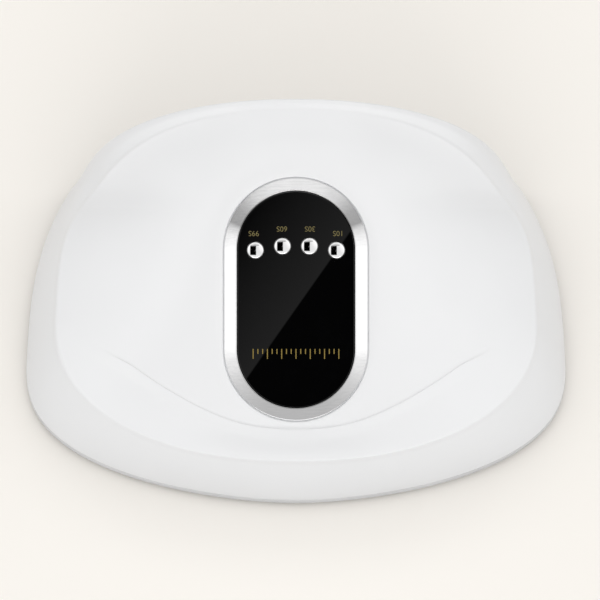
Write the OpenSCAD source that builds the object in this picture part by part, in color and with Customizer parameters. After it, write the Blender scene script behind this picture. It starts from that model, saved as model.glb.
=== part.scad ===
// Nail lamp: a domed hood on a removable base tray, with a hand chamber lit by LEDs from the roof,
// the sides and the rear, and a tilted control panel with four push buttons.
// The front, with the hand opening, faces -Y. The feet stand on z = 0.

/* [Hood] */
// Widest width of the hood
hood_w = 250; // [244:1:258]
// Depth from the rear edge to the front rim
hood_d = 160; // [156:1:166]
// Height of the front rim's crown above the table
crown_z = 89.5; // [88:0.5:93]
// Wall thickness of the hood
wall = 2.4; // [2:0.1:2.8]
// Width of the front arch above its feet
arch_w = 199; // [196:1:206]
// How much the arch's feet spread at each side
foot_flare = 7.5; // [4:0.5:8]
// Distance from the rear edge to the widest place
wide_back = 70; // [66:1:76]

/* [Shoulder line] */
// How far the shoulder line lies inside the widest outline
shoulder_in = 16.5; // [14:0.5:19]
// How far it lies inside the rear edge
shoulder_rear_in = 6; // [4:0.5:8]
// How far it lies behind the front rim
shoulder_front_in = 6.5; // [5:0.5:9]
// Its height at the sides
shoulder_z = 43; // [41:0.5:46]
// How much lower it runs at the rear
shoulder_dip = 5; // [2:0.5:6]
// Depth of the step at the line
shoulder_step = 0.8; // [0.4:0.1:1.2]
// Depth of the gull-wing fold under the panel
fold_depth = 1; // [0.5:0.1:1.4]

/* [Control panel] */
// Slope of the panel, down towards the rear
panel_tilt = 25; // [24:0.5:26]
// Height of the panel's middle above the table
panel_z = 64; // [63:0.5:66]
// Distance of the panel's middle from the rear edge
panel_back = 73.2; // [71:0.1:75]
// Width of the bezel
bezel_w = 64; // [62:0.5:66]
// Length of the bezel
bezel_l = 108; // [106:0.5:110]
// Width of the bezel's ring
bezel_ring = 6; // [5.5:0.1:6.5]
// Height of the bezel above the hood
bezel_h = 1.6; // [1.2:0.1:2]
// Width of the hood's seat under the bezel
bezel_seat = 2; // [1.6:0.1:2.4]
// Thickness of the dark lens
lens_t = 2.4; // [2:0.1:2.8]
// Height of the lens above the hood
lens_rise = 0.5; // [0.3:0.1:0.8]
// Thickness of the frame under the lens
frame_t = 2; // [1.6:0.1:2.4]

/* [Buttons] */
// Diameter of a button
button_d = 7.2; // [6.6:0.1:7.6]
// Distance between neighbouring buttons
button_pitch = 12; // [11.5:0.1:12.5]
// Distance of the middle buttons above the panel's middle
button_up = 23.6; // [22:0.1:25]
// How much lower the outer buttons sit
button_bow = 1.8; // [1:0.1:2.4]
// Height of a button above the lens
button_rise = 1.1; // [0.8:0.1:1.4]
// How far a button travels
button_travel = 0.5; // [0.3:0.05:0.6]
// Side of a switch body
switch_w = 6; // [5.6:0.1:6.4]
// Height of a switch body
switch_h = 3.4; // [3.2:0.1:3.8]

/* [Circuit boards] */
// Thickness of every board
board_t = 1.6; // [1.2:0.1:1.8]
// Width of the control board
control_w = 47; // [45:0.5:48]
// Width of the timer display
display_w = 22.6; // [20:0.1:24]
// Length of the timer display
display_l = 12.6; // [11:0.1:13.5]

/* [Hand chamber] */
// Width of the front face at each side of the chamber
cheek_w = 17.5; // [17:0.5:19]
// Inside height of the roof at the front
roof_front_z = 65; // [63:0.5:67]
// Room between the control board's screws and the boards on the roof
roof_room = 1.5; // [1:0.1:3]
// Distance from the front rim to the roof's bend
bend_in = 60; // [56:1:64]
// Distance from the front rim to the rear wall
chamber_d = 125; // [122:1:128]
// Height of the upright part of the side walls
knee_h = 26; // [24:0.5:28]
// Wall thickness of the liner
liner_wall = 2; // [1.6:0.1:2.4]

/* [LEDs] */
// Diameter of an LED
led_d = 5.2; // [4.6:0.1:5.8]
// Distance between LEDs across the roof
led_pitch = 20; // [18:0.5:22]
// Distance between the two rows of a roof board
led_row = 24; // [20:0.5:26]

/* [Base tray] */
// Height of the rubber feet below the tray
foot_h = 2; // [1.5:0.1:3]
// Diameter of a rubber foot
foot_d = 14; // [12:0.5:16]
// Thickness of the tray at its edge
tray_t = 4; // [3.6:0.1:5]
// Thickness of the mirror sheet
mirror_t = 1; // [0.6:0.1:1.2]
// Diameter of a magnet
magnet_d = 8; // [6:0.5:9]
// Thickness of a magnet
magnet_t = 2; // [1.5:0.1:2.2]

/* [Fasteners and fits] */
// Shaft diameter of a housing screw
screw_d = 2.4; // [2:0.1:2.8]
// Diameter of a screw boss
boss_d = 8; // [7:0.5:9]
// Clearance of a fixed fit, all round
fit = 0.15; // [0.1:0.05:0.25]
// Clearance of a moving piece, all round
run = 0.2; // [0.15:0.05:0.3]

/* [Hidden] */
BUTTONS = ["10s", "30s", "60s", "99s"];
$fn = 48;

// Places shared by the pieces
rear_y = hood_d / 2;
front_y = -hood_d / 2;
wide_y = rear_y - wide_back;
edge_z = foot_h + tray_t;
panel_y = rear_y - panel_back;

// Exponents of the hood's rounded outlines, where 2 is an ellipse
outline_side_pow = 1.75;
outline_rear_pow = 2.68;
side_pow = 2.8;
arch_pow = 2.13;
flare_pow = 6;
shoulder_rear_pow = 2.25;
shoulder_front_pow = 3.6;
pad_pow = 3;

// The hood's skin is a set of ribs that fan out from the panel, one every rib_step degrees.
// Angle 0 is the +X side and angle 90 the rear; the front arch starts foot_turn degrees past a side.
rib_step = 3.75;
foot_turn = 33.75;
shoulder_ahead = 3;
shoulder_y = wide_y - shoulder_ahead;
shoulder_rise = 2;
shoulder_blend = 12;
shoulder_half = hood_w / 2 - shoulder_in;
shoulder_turn = 0.08;
pad_rim = 1;
pad_half = bezel_w / 2 + pad_rim;
pad_len = bezel_l / 2 + pad_rim;
wall_bulge = 2;
lip_bulge = 2.6;
lip_fade = [25.75, 45.75];
lip_pull = [0.4, 0.75, 0.2];
top_pull = 0.35;
top_crown = 0.56;
crown_least = 0.5;
crown_blend = 2;

// Rounded outline of half sizes a and b at an angle; the power squares it up
function rounded(a, b, power, u) = let (
    r = pow(pow(abs(cos(u)), power) + pow(abs(sin(u)), power), -1 / power)
) [a * r * cos(u), b * r * sin(u)];

// The same with a power of its own for each half size; each step brings the reach r nearer
reach_steps = 8;
function reach(x, y, px, py, r, steps) = let (
    across = pow(r * x, px),
    along = pow(r * y, py),
    next = r - r * (across + along - 1) / (px * across + py * along)
) steps == 0 ? r : reach(x, y, px, py, next, steps - 1);
function rounded_two(a, b, px, py, u) = let (
    r = reach(abs(cos(u)), abs(sin(u)), px, py, 1, reach_steps)
) [a * r * cos(u), b * r * sin(u)];
function soft_step(f) = let (c = min(max(f, 0), 1)) c * c * (3 - 2 * c);
function soft_max(a, b, k) = (a + b + sqrt((a - b) * (a - b) + k * k)) / 2;
function unit(v) = v / max(norm(v), 0.001);
function bezier(p, s) =
    p[0] * pow(1 - s, 3) + p[1] * 3 * s * pow(1 - s, 2) + p[2] * 3 * s * s * (1 - s) + p[3] * pow(s, 3);

// How far an angle leans to the rear, from -90 at the front to 90 at the rear
function lean(t) = asin(sin(t));
function half_of(t) = cos(t) < 0 ? -1 : 1;

// Point of the panel's plane: across, down the slope and above the plane
function on_panel(x, down, up) = [
    x,
    panel_y + down * cos(panel_tilt) + up * sin(panel_tilt),
    panel_z - down * sin(panel_tilt) + up * cos(panel_tilt)
];

// Height of the front arch at a distance from the middle
function arch_z(x) =
    edge_z + (crown_z - edge_z) * pow(max(0, 1 - pow(2 * x / arch_w, arch_pow)), 1 / arch_pow);

// Half width of the front arch at a height
function arch_half(z) = let (
    up = (z - edge_z) / (crown_z - edge_z)
) arch_w / 2 * pow(1 - pow(up, arch_pow), 1 / arch_pow) + foot_flare * pow(1 - up, flare_pow);

// The hood's free edge: the foot outline at the rear and the sides, the arch at the front
function rear_edge(u, inset) = let (
    q = rounded_two(hood_w / 2 - inset, rear_y - inset - wide_y, outline_side_pow, outline_rear_pow, u)
) [q.x, wide_y + q.y, edge_z];
function side_edge(f, inset) = [
    hood_w / 2 - inset - ((hood_w - arch_w) / 2 - foot_flare) * pow(f, side_pow),
    wide_y + (front_y - wide_y) * f,
    edge_z
];
function arch_edge(a, inset) = let (
    q = rounded(arch_w / 2 - inset, 1, arch_pow, a)
) [q.x + foot_flare * pow(1 - q.y, flare_pow), front_y, edge_z + (crown_z - inset - edge_z) * q.y];
function edge(u, inset) =
    u >= 0 ? rear_edge(u, inset)
    : u >= -foot_turn ? side_edge(-u / foot_turn, inset)
    : arch_edge(90 * (-u - foot_turn) / (90 - foot_turn), inset);

// The shoulder line, where the top turns into the walls
function shoulder_plan(u, inset) = let (
    back = rear_y - shoulder_rear_in - inset - shoulder_y,
    ahead = shoulder_y - front_y - shoulder_front_in
) u >= 0 ? rounded(shoulder_half - inset, back, shoulder_rear_pow, u)
    : rounded(shoulder_half - inset, ahead, shoulder_front_pow, u);
function shoulder(u, inset) = let (
    q = shoulder_plan(u, inset),
    low = shoulder_z - shoulder_dip * pow(max(0, sin(u)), 2),
    high = u >= 0 ? edge_z : arch_z(shoulder_plan(u, 0).x)
) [q.x, shoulder_y + q.y, soft_max(low, high + shoulder_rise, shoulder_blend) - inset];

// Flat field round the panel
function pad(u, inset) = let (q = rounded(pad_half, pad_len, pad_pow, u)) on_panel(q.x, q.y, -inset);

// The top, from the flat field to the shoulder line
function top_rib(u, inset) = let (
    p = pad(u, inset),
    q = shoulder(u, inset),
    n = on_panel(0, 0, 1) - on_panel(0, 0, 0),
    v = q - p,
    flat = v - n * (v * n),
    crown = soft_max(crown_least, -v.z * top_crown, crown_blend)
) [p, p + flat * top_pull, [q.x - v.x * top_pull, q.y - v.y * top_pull, q.z + crown], q];

// The gull-wing fold: where it crosses a rib, and how deep it is there
fold_near = 0.18;
fold_far = 0.755;
fold_pow = 3.6;
fold_fade = [13, 25];
fold_width = 2.5;
fold_lip = 0.6;
fold_tail = 0.35;
function fold_at(u) = fold_near + (fold_far - fold_near) * pow(cos(max(u, 0)), fold_pow);
function fold_share(u) = soft_step((u - fold_fade[0]) / (fold_fade[1] - fold_fade[0]));
function top_point(u, s, inset, dip) =
    bezier(top_rib(u, inset), s) - [0, 0, dip * fold_depth * fold_share(u)];

// How far a rib belongs to the front lip; the lip carries a bead, and a valley parts it from the top
bead_h = 0.7;
valley_depth = 0.9;
valley_from = 0.86;
function lip_share(u) = soft_step((-u - lip_fade[0]) / (lip_fade[1] - lip_fade[0]));
function bead_rise(u, s) = bead_h * lip_share(u) * sin(180 * s);
function valley_dip(u, s) = valley_depth * lip_share(u) * soft_step((s - valley_from) / (1 - valley_from));

// The walls and the front lip, from under the shoulder line to the free edge
function wall_rib(u, inset) = let (
    top = shoulder(u, inset),
    q = edge(u, inset),
    p = top + (q - top) * shoulder_turn - [0, 0, shoulder_step],
    v = q - p,
    bulge = unit([q.x, u >= 0 ? q.y - wide_y : 0, 0]) * wall_bulge,
    front = lip_share(u),
    rise = unit([q.x, 0, q.z - edge_z]) * lip_bulge * (q.z - edge_z) / (crown_z - edge_z),
    lip = [v.x * lip_pull.x, v.y * lip_pull.y, v.z * lip_pull.z],
    p1 = (p + v / 3 + bulge) * (1 - front) + (p + lip) * front,
    p2 = (q - v / 3 + bulge) * (1 - front) + (q + rise) * front
) [p, p1, p2, q];

// Stops along the top: the share of the way out, and the share of the fold's depth
function top_stops(u) = let (
    m = fold_at(u),
    w = fold_width / norm(shoulder(u, 0) - pad(u, 0)),
    rest = 1 - m - 2 * w
) [
    [m / 2, 0], [m - w * fold_lip, 0], [m, 1], [m + w, fold_tail], [m + 2 * w, 0],
    [m + 2 * w + rest / 3, 0], [m + 2 * w + rest * 2 / 3, 0], [1, 0]
];

// Points of one rib, out over the top and the wall and back inside
wall_rings = 6;
inner_rings = 5;
function outer_rib(u) = concat(
    [on_panel(0, 0, 0), pad(u, 0)],
    [for (stop = top_stops(u)) top_point(u, stop[0], 0, stop[1]) - [0, 0, valley_dip(u, stop[0])]],
    [for (i = [0 : wall_rings]) bezier(wall_rib(u, 0), i / wall_rings) + [0, 0, bead_rise(u, i / wall_rings)]]
);
function inner_rib(u) = concat(
    [for (i = [inner_rings : -1 : 0]) bezier(wall_rib(u, wall), i / inner_rings)],
    [for (i = [inner_rings : -1 : 0]) top_point(u, i / inner_rings, wall, 0)],
    [on_panel(0, 0, -wall)]
);
function full_rib(t) = [
    for (p = concat(outer_rib(lean(t)), inner_rib(lean(t)))) [p.x * half_of(t), p.y, p.z]
];

// Closed skin over ribs that all start at one pole and end at another
module ribbed_skin(ribs) {
    n = len(ribs);
    rings = len(ribs[0]) - 2;
    points = concat([ribs[0][0]], [for (r = ribs) for (i = [1 : rings]) r[i]], [ribs[0][rings + 1]]);
    last = len(points) - 1;
    function at(k, i) = 1 + (k % n) * rings + i;
    faces = concat(
        [for (k = [0 : n - 1]) [0, at(k + 1, 0), at(k, 0)]],
        [for (k = [0 : n - 1]) for (i = [0 : rings - 2]) [at(k, i), at(k + 1, i + 1), at(k, i + 1)]],
        [for (k = [0 : n - 1]) for (i = [0 : rings - 2]) [at(k, i), at(k + 1, i), at(k + 1, i + 1)]],
        [for (k = [0 : n - 1]) [at(k, rings - 1), at(k + 1, rings - 1), last]]
    );
    polyhedron(points, faces);
}

// The tray's rib that centres the hood
rib_gap = 1.2;
rib_in = wall + rib_gap;
rib_t = 1.6;
rib_h = 2.4;
rib_back = 45;

// Screw bosses bite into the wall at their top, and their screws' heads stay clear of the tray's rib
BOSS_TURNS = [-31, 10, 80];
screw_head_d = 5.2;
screw_head_h = 1.8;
screw_reach = 13;
screw_slack = 0.05;
boss_bite = 1.2;
boss_share = 0.15;
head_gap = 0.7;
boss_in = rib_in + rib_t + head_gap + screw_head_d / 2;
middle = [0, wide_y];
function boss_top(u) = bezier(wall_rib(u, wall), boss_share);
function boss_place(u) = let (
    top = [boss_top(u).x, boss_top(u).y] - middle,
    foot = [edge(u, boss_in).x, edge(u, boss_in).y] - middle
) middle + unit(top) * min(norm(top) - boss_d / 2 + boss_bite, norm(foot));
module at_bosses() {
    for (s = [-1, 1]) for (u = BOSS_TURNS)
        translate([s * boss_place(u).x, boss_place(u).y, 0]) children();
}

// Levels of the screw flange and the bosses above the tray
flange_z = edge_z + 3;
flange_t = 2.5;
flange_gap = 3.5;
flange_in = wall + flange_gap;
boss_z = flange_z + flange_t;

// How far a cut runs past a face, and how far joined forms run into each other
over = 1;
bond = 0.1;

module hood_shell() {
    color("white")
        difference() {
            union() {
                ribbed_skin([for (t = [0 : rib_step : 359.9]) full_rib(t)]);
                for (s = [-1, 1]) for (u = BOSS_TURNS)
                    translate([s * boss_place(u).x, boss_place(u).y, boss_z])
                        cylinder(d = boss_d, h = boss_top(u).z - boss_z);
            }
            at_panel() translate([0, 0, -2 * wall])
                linear_extrude(4 * wall) stadium(bezel_w - 2 * bezel_seat, bezel_l - 2 * bezel_seat);
            at_bosses() translate([0, 0, boss_z - over])
                cylinder(d = screw_d + 2 * screw_slack, h = screw_reach + over);
        }
}

// Outline of the foot edge, drawn in by an inset and closed across the front
function foot_outline(inset) = let (
    right = [for (u = [-foot_turn : rib_step : 90]) edge(u, inset)]
) concat(
    [for (p = right) [p.x, max(p.y, front_y)]],
    [for (i = [len(right) - 2 : -1 : 0]) [-right[i].x, max(right[i].y, front_y)]]
);

// Outline of the front arch, drawn in by an inset
arch_steps = 32;
function arch_outline(inset) = [
    for (i = [0 : arch_steps]) let (
        a = 180 * i / arch_steps,
        p = arch_edge(lean(a), inset)
    ) [p.x * half_of(a), p.z]
];

// Stadium outline: width, and length along Y
module stadium(w, l) {
    square([w, l - w], center = true);
    for (s = [-1, 1]) translate([0, s * (l - w) / 2]) circle(d = w, $fn = 96);
}

// Ring of a constant section along a stadium; the children draw the section, at its distance from the spine
module stadium_ring(w, l) {
    straight = l - w;
    for (s = [0, 180]) rotate(s) {
        translate([0, straight / 2, 0]) rotate_extrude(angle = 180, $fn = 96) children();
        translate([0, straight / 2, 0]) rotate([90, 0, 0]) linear_extrude(straight) children();
    }
}

module at_panel() {
    translate([0, panel_y, panel_z]) rotate([-panel_tilt, 0, 0]) children();
}

// Levels of the panel's stack, measured from the hood's face along the panel's normal
button_flange_w = 0.9;
button_flange_t = 1;
button_stem_d = 3;
button_stem_l = 1.9;
lens_w = bezel_w - 2 * bezel_ring;
lens_l = bezel_l - 2 * bezel_ring;
lens_low = lens_rise - lens_t;
frame_low = -wall - frame_t;
flange_top = lens_low - run;
flange_low = flange_top - button_flange_t;
stem_low = flange_low - button_stem_l;
switch_top = stem_low - button_travel - run;
board_top = switch_top - switch_h;
button_flange_d = button_d + 2 * button_flange_w;
plunger_d = 3.4;
plunger_sink = 1.2;

function button_place(i) = let (k = i - (len(BUTTONS) - 1) / 2)
    [k * button_pitch, -button_up + button_bow * (k * k - 0.25) / 2];
module at_button(i) {
    at_panel() translate([button_place(i).x, button_place(i).y, 0]) children();
}
module at_button_holes() {
    for (i = [0 : len(BUTTONS) - 1]) translate([button_place(i).x, button_place(i).y, 0]) children();
}

// The bezel rises from a low outer edge to a crest beside the lens
bezel_edge = 0.22;
bezel_round = 0.6;
bezel_crest = 0.9;
bezel_drop = 0.7;
module bezel_section() {
    inner = lens_w / 2 + fit;
    outer = bezel_w / 2;
    skirt = outer - bezel_seat - fit;
    polygon([
        [inner, lens_low], [skirt, lens_low], [skirt, 0], [outer, 0], [outer, bezel_edge],
        [outer - bezel_round, 2 * bezel_edge], [inner + bezel_crest, bezel_h], [inner, bezel_h - bezel_drop]
    ]);
}
module panel_bezel() {
    color("silver") at_panel() stadium_ring(bezel_w, bezel_l) bezel_section();
}

module panel_lens() {
    color("black") at_panel() difference() {
        translate([0, 0, lens_low]) linear_extrude(lens_t) stadium(lens_w, lens_l);
        translate([0, 0, lens_low - over]) at_button_holes()
            cylinder(d = button_d + 2 * run, h = lens_t + 2 * over);
    }
}

// Posts that carry the control board under the frame
POSTS = [[16, -38], [19.5, 8]];
post_d = 5;
post_screw_d = 1.9;
post_screw_bite = 2.4;
post_head_d = 3.6;
post_head_h = 1.1;
frame_gap = 0.3;
display_down = -4;
module at_posts() {
    for (s = [-1, 1]) for (p = POSTS) translate([s * p.x, p.y, 0]) children();
}
module panel_frame() {
    color("dimgray") at_panel() difference() {
        union() {
            translate([0, 0, frame_low]) linear_extrude(frame_t)
                stadium(bezel_w - 2 * frame_gap, bezel_l - 2 * frame_gap);
            translate([0, 0, -wall - bond]) linear_extrude(lens_low + wall + bond)
                stadium(bezel_w - 2 * bezel_seat - 2 * fit, bezel_l - 2 * bezel_seat - 2 * fit);
            at_posts() translate([0, 0, board_top]) cylinder(d = post_d, h = frame_low - board_top + bond);
        }
        translate([0, 0, frame_low - over]) at_button_holes()
            cylinder(d = button_flange_d + 2 * run, h = frame_t + wall + 2 * over);
        translate([0, display_down, frame_low - over]) linear_extrude(frame_t + wall + 2 * over)
            square([display_w + 2 * fit, display_l + 2 * fit], center = true);
        at_posts() translate([0, 0, board_top - over])
            cylinder(d = post_screw_d + 2 * screw_slack, h = post_screw_bite + 2 * over);
    }
}

// A button: domed chrome cap, a flange that holds it under the lens, a stem down to the switch
dome_h = 0.9;
module push_button(i) {
    top = lens_rise + button_rise;
    dome_r = (pow(button_d / 2, 2) + pow(dome_h, 2)) / (2 * dome_h);
    color("silver") at_button(i) {
        intersection() {
            translate([0, 0, flange_low]) cylinder(d = button_d, h = top - flange_low);
            translate([0, 0, top - dome_r]) sphere(r = dome_r);
        }
        translate([0, 0, flange_low]) cylinder(d = button_flange_d, h = flange_top - flange_low);
        translate([0, 0, stem_low]) cylinder(d = button_stem_d, h = flange_low - stem_low + bond);
    }
}
module plunger(i) {
    color("goldenrod") at_button(i) translate([0, 0, switch_top - plunger_sink])
        cylinder(d = plunger_d, h = stem_low - switch_top + plunger_sink);
}
module button_10s() { push_button(0); }
module button_30s() { push_button(1); }
module button_60s() { push_button(2); }
module button_99s() { push_button(3); }
module plunger_10s() { plunger(0); }
module plunger_30s() { plunger(1); }
module plunger_60s() { plunger(2); }
module plunger_99s() { plunger(3); }

module tact_switches() {
    color("darkslategray") for (i = [0 : len(BUTTONS) - 1]) at_button(i) difference() {
        translate([0, 0, board_top + switch_h / 2]) cube([switch_w, switch_w, switch_h], center = true);
        translate([0, 0, switch_top - plunger_sink - button_travel - run])
            cylinder(d = plunger_d + 2 * run, h = switch_h);
    }
}

control_front = -46;
control_rear = 14;
control_gap = 1;
module control_board() {
    color("darkgreen") at_panel() difference() {
        translate([0, 0, board_top - board_t]) linear_extrude(board_t) intersection() {
            stadium(control_w, lens_l - 2 * control_gap);
            translate([-control_w, control_front]) square([2 * control_w, control_rear - control_front]);
        }
        at_posts() translate([0, 0, board_top - board_t - over])
            cylinder(d = post_screw_d + 2 * fit, h = board_t + 2 * over);
    }
}

module screw(shaft_d, head_d, head_h, reach) {
    translate([0, 0, -head_h]) cylinder(d = head_d, h = head_h);
    cylinder(d = shaft_d, h = reach);
}
module board_screws() {
    color("silver") at_panel() at_posts() translate([0, 0, board_top - board_t])
        screw(post_screw_d, post_head_d, post_head_h, board_t + post_screw_bite);
}

module timer_display() {
    color("dimgray") at_panel() translate([0, display_down, board_top])
        linear_extrude(lens_low - fit - board_top) square([display_w, display_l], center = true);
}

// Chamber sections: across, and from front to rear
side_lean = 2;
lean_run = 40;
lean_rise = 43.3;
face_in = 2;
roof_front_y = front_y + face_in;
bend_y = front_y + bend_in;
chamber_rear_y = front_y + chamber_d;
rear_rake = 3;
chamber_w = arch_w - 2 * cheek_w;
knee_z = edge_z + knee_h;

// The rear part of the roof lies parallel to the panel, under the control board and its screws
roof_level = board_top - board_t - post_head_h - roof_room - board_t - liner_wall;
function roof_z(y) = let (
    p = on_panel(0, 0, roof_level)
) p.z - (y - p.y) * tan(panel_tilt);
roof_bend_z = roof_z(bend_y);
roof_rear_z = roof_z(chamber_rear_y);
liner_lift = 0.4;
liner_low = edge_z + liner_lift;
knee_x = chamber_w / 2 - side_lean;
function across() = [
    [-chamber_w / 2, 0], [-knee_x, knee_z], [-knee_x + lean_run, knee_z + lean_rise],
    [knee_x - lean_run, knee_z + lean_rise], [knee_x, knee_z], [chamber_w / 2, 0]
];
function lengthwise() = [
    [roof_front_y, 0], [roof_front_y, roof_front_z], [bend_y, roof_bend_z],
    [chamber_rear_y, roof_rear_z], [chamber_rear_y + rear_rake, 0]
];

// Polygon of clockwise points with every side moved out by the same distance
function side_normal(p, q) = unit([p.y - q.y, q.x - p.x]);
function grown(poly, by) = [
    for (i = [0 : len(poly) - 1]) let (
        m = side_normal(poly[(i + len(poly) - 1) % len(poly)], poly[i]),
        n = side_normal(poly[i], poly[(i + 1) % len(poly)])
    ) poly[i] + (m + n) * by / (1 + m * n)
];

// Block that two sections share, one seen from the front and one from the side
module tunnel(by) {
    reach = 2 * hood_w;
    intersection() {
        translate([0, reach / 2, 0]) rotate([90, 0, 0]) linear_extrude(reach) polygon(grown(across(), by));
        rotate([90, 0, 90]) translate([0, 0, -reach / 2]) linear_extrude(reach)
            polygon(grown(lengthwise(), by));
    }
}

// Frames of the four lit faces: z points out of the chamber, y towards the rear or down
roof_mid_y = (roof_front_y + bend_y) / 2;
module on_front() {
    translate([0, roof_mid_y, (roof_front_z + roof_bend_z) / 2])
        rotate([atan2(roof_bend_z - roof_front_z, bend_y - roof_front_y), 0, 0]) children();
}
module on_roof() {
    translate([0, (bend_y + chamber_rear_y) / 2, (roof_bend_z + roof_rear_z) / 2])
        rotate([atan2(roof_rear_z - roof_bend_z, chamber_rear_y - bend_y), 0, 0]) children();
}
side_up = 11;
side_mid = 40;
side_mid_y = front_y + side_mid;
module on_side(s) {
    translate([s * (knee_x - side_up), side_mid_y, knee_z + side_up * lean_rise / lean_run])
        rotate([0, s * atan2(lean_rise, lean_run), 0]) children();
}
rear_mid_z = (boss_z + roof_rear_z) / 2;
module on_rear() {
    translate([0, chamber_rear_y + rear_rake * (1 - rear_mid_z / roof_rear_z), rear_mid_z])
        rotate([-90 + atan2(rear_rake, roof_rear_z), 0, 0]) children();
}

// Rows of LEDs on each face, as places across and along it
front_board_y = 5;
side_row = 12;
FRONT_LEDS = [for (x = [-2 : 2]) for (y = [-0.5, 0.5]) [x * led_pitch, front_board_y + y * led_row]];
ROOF_LEDS = [for (x = [-2 : 2]) for (y = [-0.5, 0.5]) [x * led_pitch, y * led_row]];
SIDE_LEDS = [for (x = [-0.5, 0.5]) for (y = [-1 : 1]) [x * side_row, y * led_pitch]];
REAR_LEDS = [for (x = [-2 : 2]) [x * led_pitch, 0]];
module at_places(places) {
    for (p = places) translate([p.x, p.y, 0]) children();
}

// Heat stakes that hold each board, at the corners of its board
stake_d = 2.4;
stake_in = 4;
stake_rise = 0.7;
board_rim = 8;
rear_gap = 1.5;
rear_board_l = roof_rear_z - boss_z - 2 * rear_gap;
front_board = [4 * led_pitch + 2 * board_rim, led_row + 2 * board_rim];
roof_board = [4 * led_pitch + 2 * board_rim, led_row + 2 * board_rim];
side_board = [side_row + 2 * stake_in + 2, 2 * led_pitch + 2 * board_rim];
rear_board = [4 * led_pitch + 2 * board_rim, rear_board_l];
function stakes(size) = [for (sx = [-1, 1]) for (sy = [-1, 1])
    [sx * (size.x / 2 - stake_in), sy * (size.y / 2 - stake_in)]];
module board_stakes(size) {
    translate([0, 0, liner_wall - bond]) at_places(stakes(size))
        cylinder(d = stake_d, h = board_t + stake_rise + bond);
}
led_gap = 0.5;
module led_holes(places) {
    translate([0, 0, -over]) at_places(places) cylinder(d = led_d + 2 * led_gap, h = liner_wall + 2 * over);
}

// Cups in the liner that hold the hood's magnets inside the tray's rib
magnet_gap = 1.5;
magnet_cup_t = 1.4;
magnet_cup_gap = 0.6;

// Places of the magnets and the feet, for the right half
magnet_in = rib_in + rib_t + magnet_gap + magnet_d / 2 + fit + magnet_cup_t;
MAGNETS = [for (u = [-9, 27]) edge(u, magnet_in)];
front_foot_side = 40;
front_foot_in = 18;
rear_foot_side = 55;
rear_foot_in = 32;
FEET = [
    [hood_w / 2 - front_foot_side, front_y + front_foot_in],
    [hood_w / 2 - rear_foot_side, rear_y - rear_foot_in]
];
module at_magnets() {
    for (s = [-1, 1]) for (p = MAGNETS) translate([s * p.x, p.y, 0]) children();
}
module at_feet() {
    for (s = [-1, 1]) for (p = FEET) translate([s * p.x, p.y, 0]) children();
}

inlet_d = 8;
inlet_up = 15;
inlet_z = edge_z + inlet_up;
inlet_x = -(chamber_w / 2 + liner_wall + arch_half(inlet_z) - wall) / 2;
sensor_y = -22;
sensor_gap = 5;
sensor_d = 3;
sensor_board_w = 14;
sensor_board_l = 8;

// Reflector of the hand chamber, with the front face, the screw flange and the stakes for the boards
module inner_liner() {
    color("whitesmoke") difference() {
        union() {
            intersection() {
                tunnel(liner_wall);
                translate([-hood_w, roof_front_y, liner_low]) cube([2 * hood_w, hood_d, crown_z]);
            }
            intersection() {
                translate([0, roof_front_y + liner_wall, 0]) rotate([90, 0, 0]) linear_extrude(liner_wall)
                    polygon(arch_outline(wall + 2 * fit));
                translate([-hood_w, -hood_d, liner_low]) cube([2 * hood_w, 2 * hood_d, crown_z]);
            }
            intersection() {
                translate([0, 0, flange_z]) linear_extrude(flange_t) polygon(foot_outline(flange_in));
                translate([-hood_w, roof_front_y, 0]) cube([2 * hood_w, hood_d, crown_z]);
            }
            at_magnets() translate([0, 0, edge_z + magnet_cup_gap])
                cylinder(d = magnet_d + 2 * fit + 2 * magnet_cup_t, h = flange_z - edge_z);
            on_front() translate([0, front_board_y, 0]) board_stakes(front_board);
            on_roof() board_stakes(roof_board);
            for (s = [-1, 1]) on_side(s) board_stakes(side_board);
            on_rear() board_stakes(rear_board);
        }
        tunnel(0);
        translate([0, -hood_d / 2, 0]) intersection() {
            tunnel(0);
            translate([-hood_w, front_y, -over]) cube([2 * hood_w, hood_d / 2 + 2 * face_in, crown_z]);
        }
        on_front() led_holes(FRONT_LEDS);
        on_roof() led_holes(ROOF_LEDS);
        for (s = [-1, 1]) on_side(s) led_holes(SIDE_LEDS);
        on_rear() led_holes(REAR_LEDS);
        on_front() translate([0, sensor_y, -over]) for (s = [-1, 1]) translate([s * sensor_gap / 2, 0, 0])
            cylinder(d = sensor_d + 2 * fit, h = liner_wall + 2 * over);
        at_bosses() translate([0, 0, flange_z - over])
            cylinder(d = screw_d + 2 * run, h = flange_t + 2 * over);
        at_magnets() translate([0, 0, edge_z]) cylinder(d = magnet_d + 2 * fit, h = flange_z - edge_z);
        translate([inlet_x, front_y, inlet_z]) rotate([-90, 0, 0])
            cylinder(d = inlet_d + 2 * fit, h = face_in + liner_wall + over);
    }
}

module led_board(size) {
    difference() {
        translate([0, 0, liner_wall + board_t / 2]) cube([size.x, size.y, board_t], center = true);
        translate([0, 0, liner_wall - over]) at_places(stakes(size))
            cylinder(d = stake_d + 2 * fit, h = board_t + 2 * over);
    }
}
module led_board_front() {
    color("seagreen") on_front() translate([0, front_board_y, 0]) led_board(front_board);
}
module led_board_roof() { color("seagreen") on_roof() led_board(roof_board); }
module led_board_left() { color("seagreen") on_side(-1) led_board(side_board); }
module led_board_right() { color("seagreen") on_side(1) led_board(side_board); }
module led_board_rear() { color("seagreen") on_rear() led_board(rear_board); }

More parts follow.
